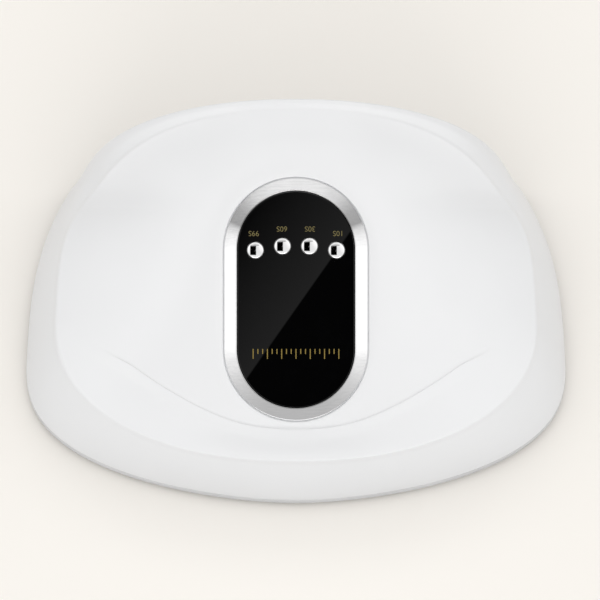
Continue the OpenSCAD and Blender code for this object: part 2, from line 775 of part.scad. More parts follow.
// An LED: a round body on the board, with a domed lens that looks into the chamber
led_sink = led_d / 2 - liner_wall + fit;
module led() {
    translate([0, 0, -led_sink]) cylinder(d = led_d, h = liner_wall + led_sink);
    translate([0, 0, -led_sink]) sphere(d = led_d);
}
module leds_front() { color("gold") on_front() at_places(FRONT_LEDS) led(); }
module leds_roof() { color("gold") on_roof() at_places(ROOF_LEDS) led(); }
module leds_left() { color("gold") on_side(-1) at_places(SIDE_LEDS) led(); }
module leds_right() { color("gold") on_side(1) at_places(SIDE_LEDS) led(); }
module leds_rear() { color("gold") on_rear() at_places(REAR_LEDS) led(); }

// Hand sensor: a small board with a sender and a receiver that look down from the roof
module hand_sensor() {
    color("midnightblue") on_front() translate([0, sensor_y, 0]) {
        translate([0, 0, liner_wall + board_t / 2])
            cube([sensor_board_w, sensor_board_l, board_t], center = true);
        for (s = [-1, 1]) translate([s * sensor_gap / 2, 0, 0]) {
            cylinder(d = sensor_d, h = liner_wall);
            sphere(d = sensor_d);
        }
    }
}

// Power inlet in the front face: a round socket with a centre pin, and its block behind the face
inlet_block_w = 10;
inlet_block_l = 14;
inlet_block_h = 11;
inlet_proud = 0.4;
inlet_bore_d = 5.5;
inlet_bore_l = 9;
inlet_pin_d = 2;
inlet_pin_in = 1;
module dc_inlet() {
    color("black") translate([inlet_x, roof_front_y, inlet_z]) difference() {
        union() {
            translate([0, -inlet_proud, 0]) rotate([-90, 0, 0])
                cylinder(d = inlet_d, h = inlet_proud + liner_wall + bond);
            translate([-inlet_block_w / 2, liner_wall, -inlet_block_h / 2])
                cube([inlet_block_w, inlet_block_l, inlet_block_h]);
        }
        difference() {
            translate([0, -over, 0]) rotate([-90, 0, 0]) cylinder(d = inlet_bore_d, h = over + inlet_bore_l);
            translate([0, inlet_pin_in, 0]) rotate([-90, 0, 0]) cylinder(d = inlet_pin_d, h = inlet_bore_l);
        }
    }
}

module hood_magnets() {
    color("silver") at_magnets() translate([0, 0, flange_z - magnet_t]) cylinder(d = magnet_d, h = magnet_t);
}

module housing_screws() {
    color("silver") at_bosses() translate([0, 0, flange_z])
        screw(screw_d, screw_head_d, screw_head_h, screw_reach);
}

// Tray: a plate of the hood's outline with a pocket for the mirror and a rib that centres the hood
mirror_in = 3;
mirror_r = 12;
mirror_sink = 0.6;
pocket_z = edge_z - mirror_t - mirror_sink;
magnet_sink = 0.1;
module mirror_outline(gap) {
    half = chamber_w / 2 - mirror_in - gap;
    back = chamber_rear_y - mirror_in - gap;
    ahead = front_y + mirror_in + gap;
    translate([-half, ahead]) square([2 * half, back - mirror_r - ahead]);
    translate([-half + mirror_r, ahead]) square([2 * (half - mirror_r), back - ahead]);
    for (s = [-1, 1]) translate([s * (half - mirror_r), back - mirror_r]) circle(r = mirror_r);
}
foot_sink = 0.8;
module base_tray() {
    color("gainsboro") difference() {
        union() {
            translate([0, 0, foot_h]) linear_extrude(tray_t) polygon(foot_outline(0));
            difference() {
                translate([0, 0, edge_z - over]) linear_extrude(rib_h + over) polygon(foot_outline(rib_in));
                translate([0, 0, foot_h]) linear_extrude(crown_z) polygon(foot_outline(rib_in + rib_t));
                translate([-hood_w, front_y - over, 0]) cube([2 * hood_w, rib_back + over, crown_z]);
            }
        }
        translate([0, 0, pocket_z]) linear_extrude(tray_t) mirror_outline(0);
        at_magnets() translate([0, 0, edge_z - magnet_t - magnet_sink])
            cylinder(d = magnet_d + 2 * fit, h = magnet_t + over);
        at_feet() translate([0, 0, foot_h - over]) cylinder(d = foot_d + 2 * fit, h = foot_sink + over);
    }
}
module base_mirror() {
    color("lightsteelblue") translate([0, 0, pocket_z]) linear_extrude(mirror_t) mirror_outline(2 * fit);
}
module tray_magnets() {
    color("silver") at_magnets() translate([0, 0, edge_z - magnet_t - magnet_sink])
        cylinder(d = magnet_d, h = magnet_t);
}
foot_bevel = 0.6;
module rubber_feet() {
    top = foot_h + foot_sink;
    color("dimgray") at_feet() rotate_extrude() polygon([
        [0, 0], [foot_d / 2 - foot_bevel, 0], [foot_d / 2, foot_bevel], [foot_d / 2, top], [0, top]
    ]);
}

base_tray();
base_mirror();
rubber_feet();
tray_magnets();
hood_shell();
inner_liner();
hood_magnets();
housing_screws();
panel_bezel();
panel_lens();
panel_frame();
button_10s();
button_30s();
button_60s();
button_99s();
plunger_10s();
plunger_30s();
plunger_60s();
plunger_99s();
tact_switches();
control_board();
board_screws();
timer_display();
led_board_front();
led_board_roof();
led_board_left();
led_board_right();
led_board_rear();
leds_front();
leds_roof();
leds_left();
leds_right();
leds_rear();
hand_sensor();
dc_inlet();
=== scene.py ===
"""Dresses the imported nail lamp: smooth moulded hood, bright bezel, dark lens, keys, LEDs and tray."""
import logging
import math
from dataclasses import dataclass, field
from enum import Enum
from typing import Any, Dict, List, Sequence, Tuple, Union

import bmesh
import bpy
import numpy as np
from mathutils import Matrix, Vector


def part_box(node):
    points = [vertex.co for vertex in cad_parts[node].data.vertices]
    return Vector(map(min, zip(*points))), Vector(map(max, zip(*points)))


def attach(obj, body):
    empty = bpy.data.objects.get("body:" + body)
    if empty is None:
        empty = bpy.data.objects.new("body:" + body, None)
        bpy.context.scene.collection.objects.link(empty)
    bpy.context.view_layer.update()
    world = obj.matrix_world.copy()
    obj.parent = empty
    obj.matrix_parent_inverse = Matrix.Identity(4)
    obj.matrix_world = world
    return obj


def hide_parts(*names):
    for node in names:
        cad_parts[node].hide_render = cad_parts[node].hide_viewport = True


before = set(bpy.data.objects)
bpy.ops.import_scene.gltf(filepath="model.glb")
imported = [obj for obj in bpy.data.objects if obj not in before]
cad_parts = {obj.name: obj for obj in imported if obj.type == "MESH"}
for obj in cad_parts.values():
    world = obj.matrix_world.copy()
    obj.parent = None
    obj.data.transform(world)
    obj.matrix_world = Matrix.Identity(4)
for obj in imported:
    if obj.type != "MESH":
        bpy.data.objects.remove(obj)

LOG = logging.getLogger("nail_lamp")
MM = 0.001
TINY = 1e-9
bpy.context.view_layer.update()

Pair = Tuple[float, float]
Pairs = Tuple[Pair, ...]
Triple = Tuple[float, float, float]
Rgb = Triple
Limits = Tuple[float, float, float, float]
Piece = bpy.types.Object
Tree = bpy.types.NodeTree
Socket = bpy.types.NodeSocket


class Pattern(Enum):
    """Surface patterns that finishes share, each a shader node group."""

    SKIN = "moulded_skin"
    GRAIN = "brushed_grain"
    FILM = "smudge_film"
    PEBBLE = "pebble_grain"
    TRACES = "board_traces"


@dataclass(frozen=True)
class Graph:
    """Short ways to add nodes to a tree and to link them.

    Attributes:
        tree: the tree that takes the nodes.
    """

    tree: Tree

    def feed(self, node: bpy.types.Node, feeds: Dict[Union[str, int], Any]) -> None:
        """Sets or links a node's inputs.

        Args:
            node: the node.
            feeds: what each input takes: a socket, which is linked, or a plain value.
        """
        for key, value in feeds.items():
            if isinstance(value, Socket):
                self.tree.links.new(value, node.inputs[key])
            else:
                node.inputs[key].default_value = value

    def add(self, kind: str, feeds: Dict[Union[str, int], Any], **settings: Any) -> bpy.types.Node:
        """Adds a node.

        Args:
            kind: the shader node's type.
            feeds: what its inputs take.
            settings: the node's own settings.

        Returns:
            The node.
        """
        node = self.tree.nodes.new("ShaderNode" + kind)
        for name, value in settings.items():
            setattr(node, name, value)
        self.feed(node, feeds)
        return node

    def math(self, kind: str, first: Socket, second: Union[Socket, float] = 0.0) -> Socket:
        """Gives the result of an operation on one or two values."""
        return self.add("Math", {0: first, 1: second}, operation=kind).outputs[0]

    def dot(self, place: Socket, way: Vector) -> Socket:
        """Measures how far a place goes along a direction."""
        return self.add("VectorMath", {0: place, 1: way}, operation="DOT_PRODUCT").outputs["Value"]

    def stretch(self, value: Socket, span: Pair, to: Pair, kind: str = "LINEAR") -> Socket:
        """Maps a value from one span to another, held at its ends.

        Args:
            value: the value.
            span: its limits.
            to: what the limits become.
            kind: the way between them.

        Returns:
            The mapped value.
        """
        feeds = {"Value": value, "From Min": span[0], "From Max": span[1], "To Min": to[0], "To Max": to[1]}
        return self.add("MapRange", feeds, interpolation_type=kind).outputs[0]

    def spread(self, value: Socket, low: float, high: float) -> Socket:
        """Stretches a value between two limits smoothly to the full range."""
        return self.stretch(value, (low, high), (0.0, 1.0), "SMOOTHSTEP")

    def blend(self, factor: Socket, first: Union[Socket, Rgb], second: Union[Socket, Rgb]) -> bpy.types.Node:
        """Adds a mix of two colours.

        Args:
            factor: the second colour's share.
            first: the first colour.
            second: the second colour.

        Returns:
            The node.
        """
        node = self.add("Mix", {"Factor": factor}, data_type="RGBA")
        places = [i for i, socket in enumerate(node.inputs) if socket.type == "RGBA"]
        for i, tone in zip(places, (first, second)):
            self.feed(node, {i: tone if isinstance(tone, Socket) else (*tone, 1.0)})
        return node

    @staticmethod
    def colour(node: bpy.types.Node) -> Socket:
        """Gives a mix node's colour output."""
        return [socket for socket in node.outputs if socket.type == "RGBA"][0]


class PatternLibrary:
    """Builds each pattern's node group once and hands it out."""

    groups: Dict[Pattern, Tree] = {}
    sockets: Tuple[Tuple[str, str, str], ...] = (
        ("Vector", "INPUT", "NodeSocketVector"), ("Scale", "INPUT", "NodeSocketFloat"),
        ("Mask", "OUTPUT", "NodeSocketFloat"), ("Height", "OUTPUT", "NodeSocketFloat"))

    @classmethod
    def get(cls, pattern: Pattern) -> Tree:
        """Gives a pattern's node group.

        Args:
            pattern: the pattern that is wanted.

        Returns:
            The node group, with a Vector and a Scale input and a Mask and a Height output.
        """
        if pattern not in cls.groups:
            tree = bpy.data.node_groups.new(pattern.value, "ShaderNodeTree")
            for name, way, kind in cls.sockets:
                tree.interface.new_socket(name, in_out=way, socket_type=kind)
            cls.fill(pattern, tree)
            cls.groups[pattern] = tree
        return cls.groups[pattern]

    @staticmethod
    def noise(graph: Graph, source: bpy.types.Node, times: float, detail: float, rough: float) -> Socket:
        """Adds a noise texture that follows the group's inputs.

        Args:
            graph: the group's graph.
            source: the group's input node.
            times: the noise's scale, as a multiple of the group's.
            detail: the number of octaves.
            rough: the roughness of the octaves.

        Returns:
            The noise's value.
        """
        scale = graph.math("MULTIPLY", source.outputs["Scale"], times)
        feeds = {"Vector": source.outputs["Vector"], "Scale": scale, "Detail": detail, "Roughness": rough}
        return graph.add("TexNoise", feeds).outputs[0]

    @classmethod
    def fill(cls, pattern: Pattern, tree: Tree) -> None:
        """Puts a pattern's textures into its group.

        Args:
            pattern: the pattern to make.
            tree: the empty group.
        """
        graph = Graph(tree)
        source = tree.nodes.new("NodeGroupInput")
        target = tree.nodes.new("NodeGroupOutput")
        inputs = {name: source.outputs[name] for name in ("Vector", "Scale")}
        if pattern is Pattern.SKIN:
            mask = graph.spread(cls.noise(graph, source, 1.0, 3.0, 0.5), 0.3, 0.7)
            height = cls.noise(graph, source, 34.0, 2.0, 0.45)
        elif pattern is Pattern.GRAIN:
            height = cls.noise(graph, source, 1.0, 6.0, 0.75)
            mask = graph.spread(height, 0.32, 0.68)
        elif pattern is Pattern.FILM:
            height = cls.noise(graph, source, 9.0, 5.0, 0.7)
            blotch = graph.spread(cls.noise(graph, source, 1.0, 4.0, 0.6), 0.42, 0.72)
            mask = graph.math("MULTIPLY", blotch, graph.spread(height, 0.3, 0.75))
        elif pattern is Pattern.PEBBLE:
            cells = graph.add("TexVoronoi", inputs)
            height = graph.spread(cells.outputs["Distance"], 0.0, 0.7)
            mask = graph.spread(cls.noise(graph, source, 0.2, 3.0, 0.6), 0.3, 0.7)
        else:
            bricks = graph.add("TexBrick", {**inputs, "Mortar Size": 0.07, "Mortar Smooth": 0.2}, offset=0.37)
            mask = height = bricks.outputs["Fac"]
        graph.feed(target, {"Mask": mask, "Height": height})


@dataclass(frozen=True)
class Finish:
    """A procedural finish: two tones and two roughnesses that a pattern mixes, and a fine relief.

    Attributes:
        name: the material's name.
        tone: the colour where the pattern's mask is 0.
        other: the colour where the mask is 1.
        rough: the roughness at mask 0 and at mask 1.
        pattern: the pattern that mixes them.
        scale: the pattern's scale, per metre.
        stretch: how much the pattern is squeezed along each axis.
        turn: rotation of the pattern, in degrees.
        centre: the pattern's own origin, in metres.
        relief: depth of the relief, in metres.
        metal: how metallic the surface is.
        coat: weight of a clear coat.
        coat_rough: roughness of the clear coat.
        clear: how much light passes through.
        ior: index of refraction.
    """

    name: str
    tone: Rgb
    other: Rgb
    rough: Pair
    pattern: Pattern = Pattern.SKIN
    scale: float = 20.0
    stretch: Triple = (1.0, 1.0, 1.0)
    turn: Triple = (0.0, 0.0, 0.0)
    centre: Triple = (0.0, 0.0, 0.0)
    relief: float = 0.0
    metal: float = 0.0
    coat: float = 0.0
    coat_rough: float = 0.06
    clear: float = 0.0
    ior: float = 1.5

    def material(self) -> bpy.types.Material:
        """Gives this finish's material, made on first use."""
        return bpy.data.materials.get(self.name) or self.make()

    def place(self, graph: Graph, source: Socket, stretch: Triple) -> Socket:
        """Turns and moves Object coordinates to the pattern's own.

        Args:
            graph: the material's graph.
            source: the Object coordinates.
            stretch: how much they are squeezed along each axis.

        Returns:
            The pattern's coordinates.
        """
        feeds = {
            "Vector": source, "Location": self.centre, "Scale": [1.0 / k for k in stretch],
            "Rotation": [math.radians(a) for a in self.turn]}
        return graph.add("Mapping", feeds, vector_type="TEXTURE").outputs["Vector"]

    def make(self) -> bpy.types.Material:
        """Builds the material's nodes.

        Returns:
            The new material.
        """
        made = bpy.data.materials.new(self.name)
        made.use_nodes = True
        graph = Graph(made.node_tree)
        spot = self.place(graph, graph.add("TexCoord", {}).outputs["Object"], self.stretch)
        pattern = PatternLibrary.get(self.pattern)
        group = graph.add("Group", {}, node_tree=pattern)
        graph.feed(group, {"Vector": spot, "Scale": self.scale})
        mask = group.outputs["Mask"]
        tones = graph.blend(mask, self.tone, self.other)
        tones.name = "tones"
        shader = made.node_tree.nodes["Principled BSDF"]
        graph.feed(shader, {
            "Metallic": self.metal, "Coat Weight": self.coat, "Coat Roughness": self.coat_rough,
            "Transmission Weight": self.clear, "IOR": self.ior, "Base Color": graph.colour(tones),
            "Roughness": graph.stretch(mask, (0.0, 1.0), self.rough)})
        if self.relief > 0.0:
            feeds = {"Strength": 1.0, "Distance": self.relief, "Height": group.outputs["Height"]}
            graph.feed(shader, {"Normal": graph.add("Bump", feeds).outputs["Normal"]})
        return made


@dataclass(frozen=True)
class BezelFinish(Finish):
    """Bright metal with polished straight sides and brushed round ends, with painted reflection: each end's
    base colour is made lighter and darker by its angle round the end.

    Attributes:
        straight: half of the straight sides' length, in metres.
        fade: the length over which the brushed grain sets in, in metres.
        upper: stops of the painted reflection's level round the upper end, each a share of a quarter turn and
            a level.
        lower: the same for the lower end.
    """

    straight: float = 0.022
    fade: float = 0.003
    upper: Pairs = (
        (0.0, 1.0), (0.12, 0.86), (0.21, 0.64), (0.26, 0.33), (0.39, 0.37),
        (0.48, 0.5), (0.57, 0.65), (0.66, 0.74), (0.76, 0.86), (0.92, 1.0))
    lower: Pairs = (
        (0.0, 1.0), (0.07, 0.95), (0.1, 0.88), (0.2, 0.86),
        (0.36, 0.73), (0.53, 0.6), (0.71, 0.52), (1.0, 0.5))

    def painted_reflection_level(self, graph: Graph, parts: bpy.types.Node, sign: float, stops: Pairs) -> Socket:
        """Gives the painted reflection's level round one end.

        Args:
            graph: the material's graph.
            parts: the node that gives the place across and down the slope.
            sign: -1 for the upper end and 1 for the lower one.
            stops: the painted reflection's levels round the end.

        Returns:
            The level's socket.
        """
        feeds = {0: parts.outputs["Y"], 1: sign, 2: -self.straight}
        along = graph.add("Math", feeds, operation="MULTIPLY_ADD").outputs[0]
        angle = graph.math("ARCTAN2", along, graph.math("ABSOLUTE", parts.outputs["X"]))
        ramp = graph.add("ValToRGB", {"Fac": graph.math("DIVIDE", angle, math.pi / 2.0)})
        bar = ramp.color_ramp
        while len(bar.elements) < len(stops):
            bar.elements.new(0.5)
        for element, (at, level) in zip(bar.elements, stops):
            element.position = at
            element.color = (level, level, level, 1.0)
        return ramp.outputs["Color"]

    def make(self) -> bpy.types.Material:
        """Builds the plain finish and multiplies the ends' painted reflection into its base colour.

        Returns:
            The new material.
        """
        made = super().make()
        nodes = made.node_tree.nodes
        graph = Graph(made.node_tree)
        spot = self.place(graph, nodes["Texture Coordinate"].outputs["Object"], (1.0, 1.0, 1.0))
        parts = graph.add("SeparateXYZ", {"Vector": spot})
        along = graph.math("ABSOLUTE", parts.outputs["Y"])
        ends = graph.spread(along, self.straight, self.straight + self.fade)
        grain = nodes["tones"].inputs["Factor"].links[0].from_socket
        graph.feed(nodes["tones"], {"Factor": graph.math("MULTIPLY", grain, ends)})
        tone = graph.colour(nodes["tones"])
        # painted reflection: each end's base colour is multiplied by lighter and darker levels by angle
        for sign, stops in ((-1.0, self.upper), (1.0, self.lower)):
            level = self.painted_reflection_level(graph, parts, sign, stops)
            tone = graph.add("VectorMath", {0: tone, 1: level}, operation="MULTIPLY").outputs[0]
        graph.feed(nodes["Principled BSDF"], {"Base Color": tone})
        return made


HOOD_WHITE = Finish("hood_gloss_white", (0.86, 0.865, 0.875), (0.85, 0.855, 0.865), (0.3, 0.36),
                    scale=26.0, relief=1.2e-6, coat=0.2, coat_rough=0.16)
# painted shade: the tray's pale grey is darkened so that its edge reads as shaded under the hood's rim
TRAY_GREY_PAINTED_SHADE = Finish("tray_grey_painted_shade", (0.68, 0.682, 0.687), (0.635, 0.637, 0.643), (0.32, 0.4),
                   scale=30.0, relief=3e-6)
LINER_WHITE = Finish("reflector_white", (0.88, 0.885, 0.89), (0.84, 0.845, 0.85), (0.16, 0.26),
                     scale=24.0, relief=1.5e-6, coat=0.2)
MIRROR = Finish("mirror_sheet", (0.86, 0.875, 0.885), (0.8, 0.815, 0.825), (0.02, 0.12),
                pattern=Pattern.FILM, scale=18.0, metal=1.0)
RUBBER = Finish("foot_rubber", (0.035, 0.035, 0.037), (0.06, 0.06, 0.062), (0.7, 0.85),
                pattern=Pattern.PEBBLE, scale=1500.0, relief=3e-5)
NICKEL = Finish("magnet_nickel", (0.68, 0.67, 0.65), (0.58, 0.57, 0.55), (0.18, 0.34),
                pattern=Pattern.FILM, scale=160.0, metal=1.0)
STEEL = Finish("screw_steel", (0.62, 0.62, 0.63), (0.5, 0.5, 0.51), (0.22, 0.38),
               pattern=Pattern.GRAIN, scale=900.0, stretch=(1.0, 0.15, 1.0), relief=2e-6, metal=1.0)
# painted reflection: lighter and darker sectors on the bezel's ends, in the base colour over a real brushed
# grain
BEZEL_METAL_PAINTED_REFLECTION = BezelFinish("bezel_metal_painted_reflection", (0.96, 0.96, 0.965), (0.89, 0.89, 0.9), (0.11, 0.17),
                          pattern=Pattern.GRAIN, scale=1500.0, stretch=(0.03, 1.0, 1.0),
                          turn=(-25.0, 0.0, 0.0), centre=(0.0, 0.0068, 0.064), relief=1e-6, metal=1.0)
LENS_BLACK = Finish("lens_gloss_black", (0.0012, 0.0012, 0.0013), (0.002, 0.002, 0.0022), (0.0, 0.02),
                    pattern=Pattern.FILM, scale=40.0)
CHROME = Finish("key_chrome", (0.93, 0.93, 0.935), (0.86, 0.86, 0.87), (0.03, 0.09),
                pattern=Pattern.FILM, scale=220.0, metal=1.0)
PRINT_GOLD = Finish("print_gold", (0.32, 0.235, 0.055), (0.24, 0.17, 0.035), (0.4, 0.55),
                    pattern=Pattern.GRAIN, scale=900.0, metal=0.3)
PRINT_DIM = Finish("print_olive", (0.2, 0.165, 0.06), (0.15, 0.122, 0.044), (0.45, 0.6),
                   pattern=Pattern.GRAIN, scale=900.0, metal=0.3)
FRAME_GREY = Finish("frame_grey", (0.1, 0.1, 0.105), (0.13, 0.13, 0.135), (0.45, 0.6),
                    pattern=Pattern.PEBBLE, scale=1800.0, relief=8e-6)
PLUNGER = Finish("plunger_plastic", (0.52, 0.4, 0.16), (0.46, 0.34, 0.12), (0.4, 0.5),
                 scale=300.0, relief=4e-6)
SWITCH_BLACK = Finish("switch_black", (0.012, 0.012, 0.013), (0.022, 0.022, 0.023), (0.45, 0.6),
                      pattern=Pattern.PEBBLE, scale=2600.0, relief=8e-6)
BOARD_GREEN = Finish("board_green", (0.012, 0.09, 0.035), (0.03, 0.16, 0.06), (0.3, 0.42),
                     pattern=Pattern.TRACES, scale=160.0, relief=2e-5)
BOARD_WHITE = Finish("led_board_white", (0.72, 0.72, 0.7), (0.62, 0.63, 0.61), (0.34, 0.46),
                     pattern=Pattern.TRACES, scale=120.0, relief=2e-5)
LED_LENS = Finish("led_clear_lens", (0.95, 0.95, 0.96), (0.9, 0.9, 0.92), (0.02, 0.08),
                  pattern=Pattern.FILM, scale=260.0, clear=1.0, ior=1.49)
LED_CHIP = Finish("led_yellow_chip", (0.85, 0.6, 0.08), (0.72, 0.46, 0.04), (0.45, 0.6),
                  pattern=Pattern.PEBBLE, scale=3200.0, relief=1e-5)
LED_CUP = Finish("led_cup", (0.82, 0.82, 0.83), (0.74, 0.74, 0.76), (0.25, 0.4), scale=400.0, relief=2e-6)
DISPLAY_DARK = Finish("display_dark", (0.018, 0.018, 0.02), (0.03, 0.03, 0.033), (0.2, 0.32),
                      pattern=Pattern.TRACES, scale=220.0, relief=1e-5)
SENSOR_DARK = Finish("sensor_dark", (0.012, 0.01, 0.022), (0.02, 0.016, 0.035), (0.08, 0.2),
                     pattern=Pattern.FILM, scale=300.0)
INLET_BLACK = Finish("inlet_black", (0.014, 0.014, 0.015), (0.024, 0.024, 0.025), (0.42, 0.56),
                     pattern=Pattern.PEBBLE, scale=2200.0, relief=1e-5)
CONTACT = Finish("inlet_contact", (0.72, 0.68, 0.58), (0.6, 0.56, 0.46), (0.2, 0.32),
                 pattern=Pattern.GRAIN, scale=1200.0, metal=1.0)


class Bench:
    """Modelling steps that the pieces share."""

    @staticmethod
    def clear() -> None:
        """Leaves edit mode and deselects everything."""
        if bpy.context.object and bpy.context.object.mode != "OBJECT":
            bpy.ops.object.mode_set(mode="OBJECT")
        bpy.ops.object.select_all(action="DESELECT")

    @staticmethod
    def only(piece: Piece) -> None:
        """Makes a piece the one that is selected and active.

        Args:
            piece: the piece to work on.
        """
        Bench.clear()
        piece.select_set(True)
        bpy.context.view_layer.objects.active = piece

    @staticmethod
    def label(piece: Piece, name: str) -> Piece:
        """Names a piece and its mesh.

        Args:
            piece: the piece.
            name: the name.

        Returns:
            The piece.
        """
        piece.name = name
        piece.data.name = name
        return piece

    @staticmethod
    def shift(piece: Piece, x: float, y: float, z: float) -> Piece:
        """Moves a piece in its mesh.

        Args:
            piece: the piece.
            x: the way across, in millimetres.
            y: the way to the rear.
            z: the way up.

        Returns:
            The piece.
        """
        piece.data.transform(Matrix.Translation(Vector((x, y, z)) * MM))
        return piece

    @staticmethod
    def place_ring(piece: Piece, ring: np.ndarray) -> None:
        """Moves the selected vertices of a loft to their places.

        Args:
            piece: the piece in edit mode.
            ring: one point for each rib, in metres.
        """
        shape = bmesh.from_edit_mesh(piece.data)
        ribs = shape.verts.layers.int["rib"]
        for vert in shape.verts:
            if vert.select:
                vert.co = ring[vert[ribs]]
        bmesh.update_edit_mesh(piece.data)

    @staticmethod
    def loft(name: str, rings: Sequence[np.ndarray], capped: bool) -> Piece:
        """Extrudes a circle ring after ring, and closes the form.

        Args:
            name: the piece's name.
            rings: the rings in order, each with the same number of points, in metres.
            capped: fills both ends if true, and bridges the last ring to the first if not.

        Returns:
            The closed piece.
        """
        Bench.clear()
        bpy.ops.mesh.primitive_circle_add(vertices=len(rings[0]), radius=0.01)
        piece = Bench.label(bpy.context.object, name)
        ribs = piece.data.attributes.new("rib", "INT", "POINT")
        ribs.data.foreach_set("value", list(range(len(rings[0]))))
        bpy.ops.object.mode_set(mode="EDIT")
        bpy.ops.mesh.select_mode(type="VERT")
        bpy.ops.mesh.select_all(action="SELECT")
        Bench.place_ring(piece, rings[0])
        if capped:
            bpy.ops.mesh.edge_face_add()
            bpy.ops.mesh.select_all(action="SELECT")
            bpy.ops.mesh.select_mode(type="EDGE")
            bpy.ops.mesh.select_mode(type="VERT")
        for ring in rings[1:]:
            bpy.ops.mesh.extrude_edges_indiv()
            Bench.place_ring(piece, ring)
        if capped:
            bpy.ops.mesh.edge_face_add()
        else:
            bpy.ops.mesh.select_all(action="DESELECT")
            bpy.ops.mesh.select_non_manifold(
                extend=False, use_wire=False, use_boundary=True, use_multi_face=False,
                use_non_contiguous=False, use_verts=False)
            bpy.ops.mesh.bridge_edge_loops()
        bpy.ops.mesh.select_all(action="SELECT")
        bpy.ops.mesh.normals_make_consistent(inside=False)
        bpy.ops.object.mode_set(mode="OBJECT")
        piece.data.attributes.remove(piece.data.attributes["rib"])
        return piece

    @staticmethod
    def lathe(name: str, profile: Sequence[Pair], count: int) -> Piece:
        """Turns a profile into a round form about Z.

        Args:
            name: the piece's name.
            profile: radius and height of each ring, in millimetres.
            count: points in a ring.

        Returns:
            The closed piece.
        """
        turn = np.linspace(0.0, 2.0 * math.pi, count, endpoint=False)
        rings = []
        for r, z in profile:
            rings.append(np.stack([r * np.cos(turn), r * np.sin(turn), np.full(count, z)], axis=1) * MM)
        return Bench.loft(name, rings, capped=True)

    @staticmethod
    def block(x: float, y: float, z: float) -> Piece:
        """Makes a block round the origin, as a start for a form.

        Args:
            x: its width, in millimetres.
            y: its depth.
            z: its height.

        Returns:
            The block.
        """
        Bench.clear()
        bpy.ops.mesh.primitive_cube_add(size=1.0)
        piece = bpy.context.object
        piece.data.transform(Matrix.Diagonal((x * MM, y * MM, z * MM, 1.0)))
        return piece

    @staticmethod
    def smooth(piece: Piece, angle: float = 30.0) -> None:
        """Shades a piece smooth, except at edges sharper than an angle in degrees."""
        Bench.only(piece)
        bpy.ops.object.shade_smooth_by_angle(angle=math.radians(angle))

    @staticmethod
    def join(pieces: Sequence[Piece], name: str) -> Piece:
        """Joins pieces into the first one.

        Args:
            pieces: the pieces, the first of which stays.
            name: the joined piece's name.

        Returns:
            The joined piece.
        """
        Bench.only(pieces[0])
        for piece in pieces:
            piece.select_set(True)
        bpy.ops.object.join()
        return Bench.label(pieces[0], name)

    @staticmethod
    def copy(piece: Piece, name: str, place: Matrix) -> Piece:
        """Copies a piece with a mesh of its own, moved in the mesh.

        Args:
            piece: the piece to copy.
            name: the copy's name.
            place: where the copy goes, from the first piece's place.

        Returns:
            The copy.
        """
        Bench.only(piece)
        bpy.ops.object.duplicate()
        made = Bench.label(bpy.context.object, name)
        made.data.transform(place)
        return made

    @staticmethod
    def drop(piece: Piece) -> None:
        """Deletes a pattern piece or a cutter that is done with."""
        bpy.data.objects.remove(piece)

    @staticmethod
    def boolean(piece: Piece, tool: Piece, kind: str = "DIFFERENCE") -> None:
        """Cuts or adds a second form and deletes it.

        Args:
            piece: the piece that is changed.
            tool: the form that cuts or adds.
            kind: DIFFERENCE or UNION.
        """
        Bench.only(piece)
        step = piece.modifiers.new("form", "BOOLEAN")
        step.operation = kind
        step.solver = "EXACT"
        step.object = tool
        bpy.ops.object.modifier_apply(modifier=step.name)
        Bench.drop(tool)

    @staticmethod
    def dress(piece: Piece, finish: Finish) -> None:
        """Gives a piece one finish all over."""
        piece.data.materials.clear()
        piece.data.materials.append(finish.material())

    @staticmethod
    def mount(piece: Piece, body: str, slot: str, nodes: Sequence[str] = ()) -> None:
        """Lets a piece ride on a body, in place of the CAD nodes it stands for.

        Args:
            piece: the finished piece.
            body: the body that carries it.
            slot: the record's material slot, which is not used.
            nodes: the CAD nodes that it replaces.
        """
        if nodes:
            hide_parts(*nodes)
        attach(piece, body)
        LOG.info("%s rides on %s, %d faces", piece.name, body, len(piece.data.polygons))


def soft_step(value: float) -> float:
    """Goes smoothly from 0 to 1 as a value does."""
    c = min(max(value, 0.0), 1.0)
    return c * c * (3.0 - 2.0 * c)


def soft_max(a: float, b: float, k: float) -> float:
    """Takes the larger of two values, with a rounded change over a width k."""
    return (a + b + math.sqrt((a - b) ** 2 + k * k)) / 2.0


def unit(v: np.ndarray) -> np.ndarray:
    """Scales a vector to length 1."""
    return v / max(float(np.linalg.norm(v)), 0.001)


def bezier(p: Sequence[np.ndarray], s: float) -> np.ndarray:
    """Gives the point of a cubic curve at a share of its way."""
    r = 1.0 - s
    return p[0] * r ** 3 + p[1] * 3 * s * r * r + p[2] * 3 * s * s * r + p[3] * s ** 3


def corner(a: np.ndarray, b: np.ndarray, c: np.ndarray, steps: int) -> List[np.ndarray]:
    """Rounds the corner b between a and c.

    Args:
        a: the point before the corner.
        b: the corner.
        c: the point after it.
        steps: how many parts the curve has.

    Returns:
        The curve's points, without a and with c.
    """
    shares = [i / steps for i in range(1, steps + 1)]
    return [a * (1 - s) ** 2 + b * 2 * s * (1 - s) + c * s * s for s in shares]


def direction(u: float) -> Pair:
    """Gives the cosine and the sine of an angle in degrees."""
    return math.cos(math.radians(u)), math.sin(math.radians(u))


def rounded(a: float, b: float, power: float, u: float) -> np.ndarray:
    """Gives a point of a rounded outline.

    Args:
        a: half of its width.
        b: half of its depth.
        power: the power of its curve, 2 for an ellipse.
        u: the point's angle in degrees.

    Returns:
        The point.
    """
    c, s = direction(u)
    r = (abs(c) ** power + abs(s) ** power) ** (-1.0 / power)
    return np.array([a * r * c, b * r * s])


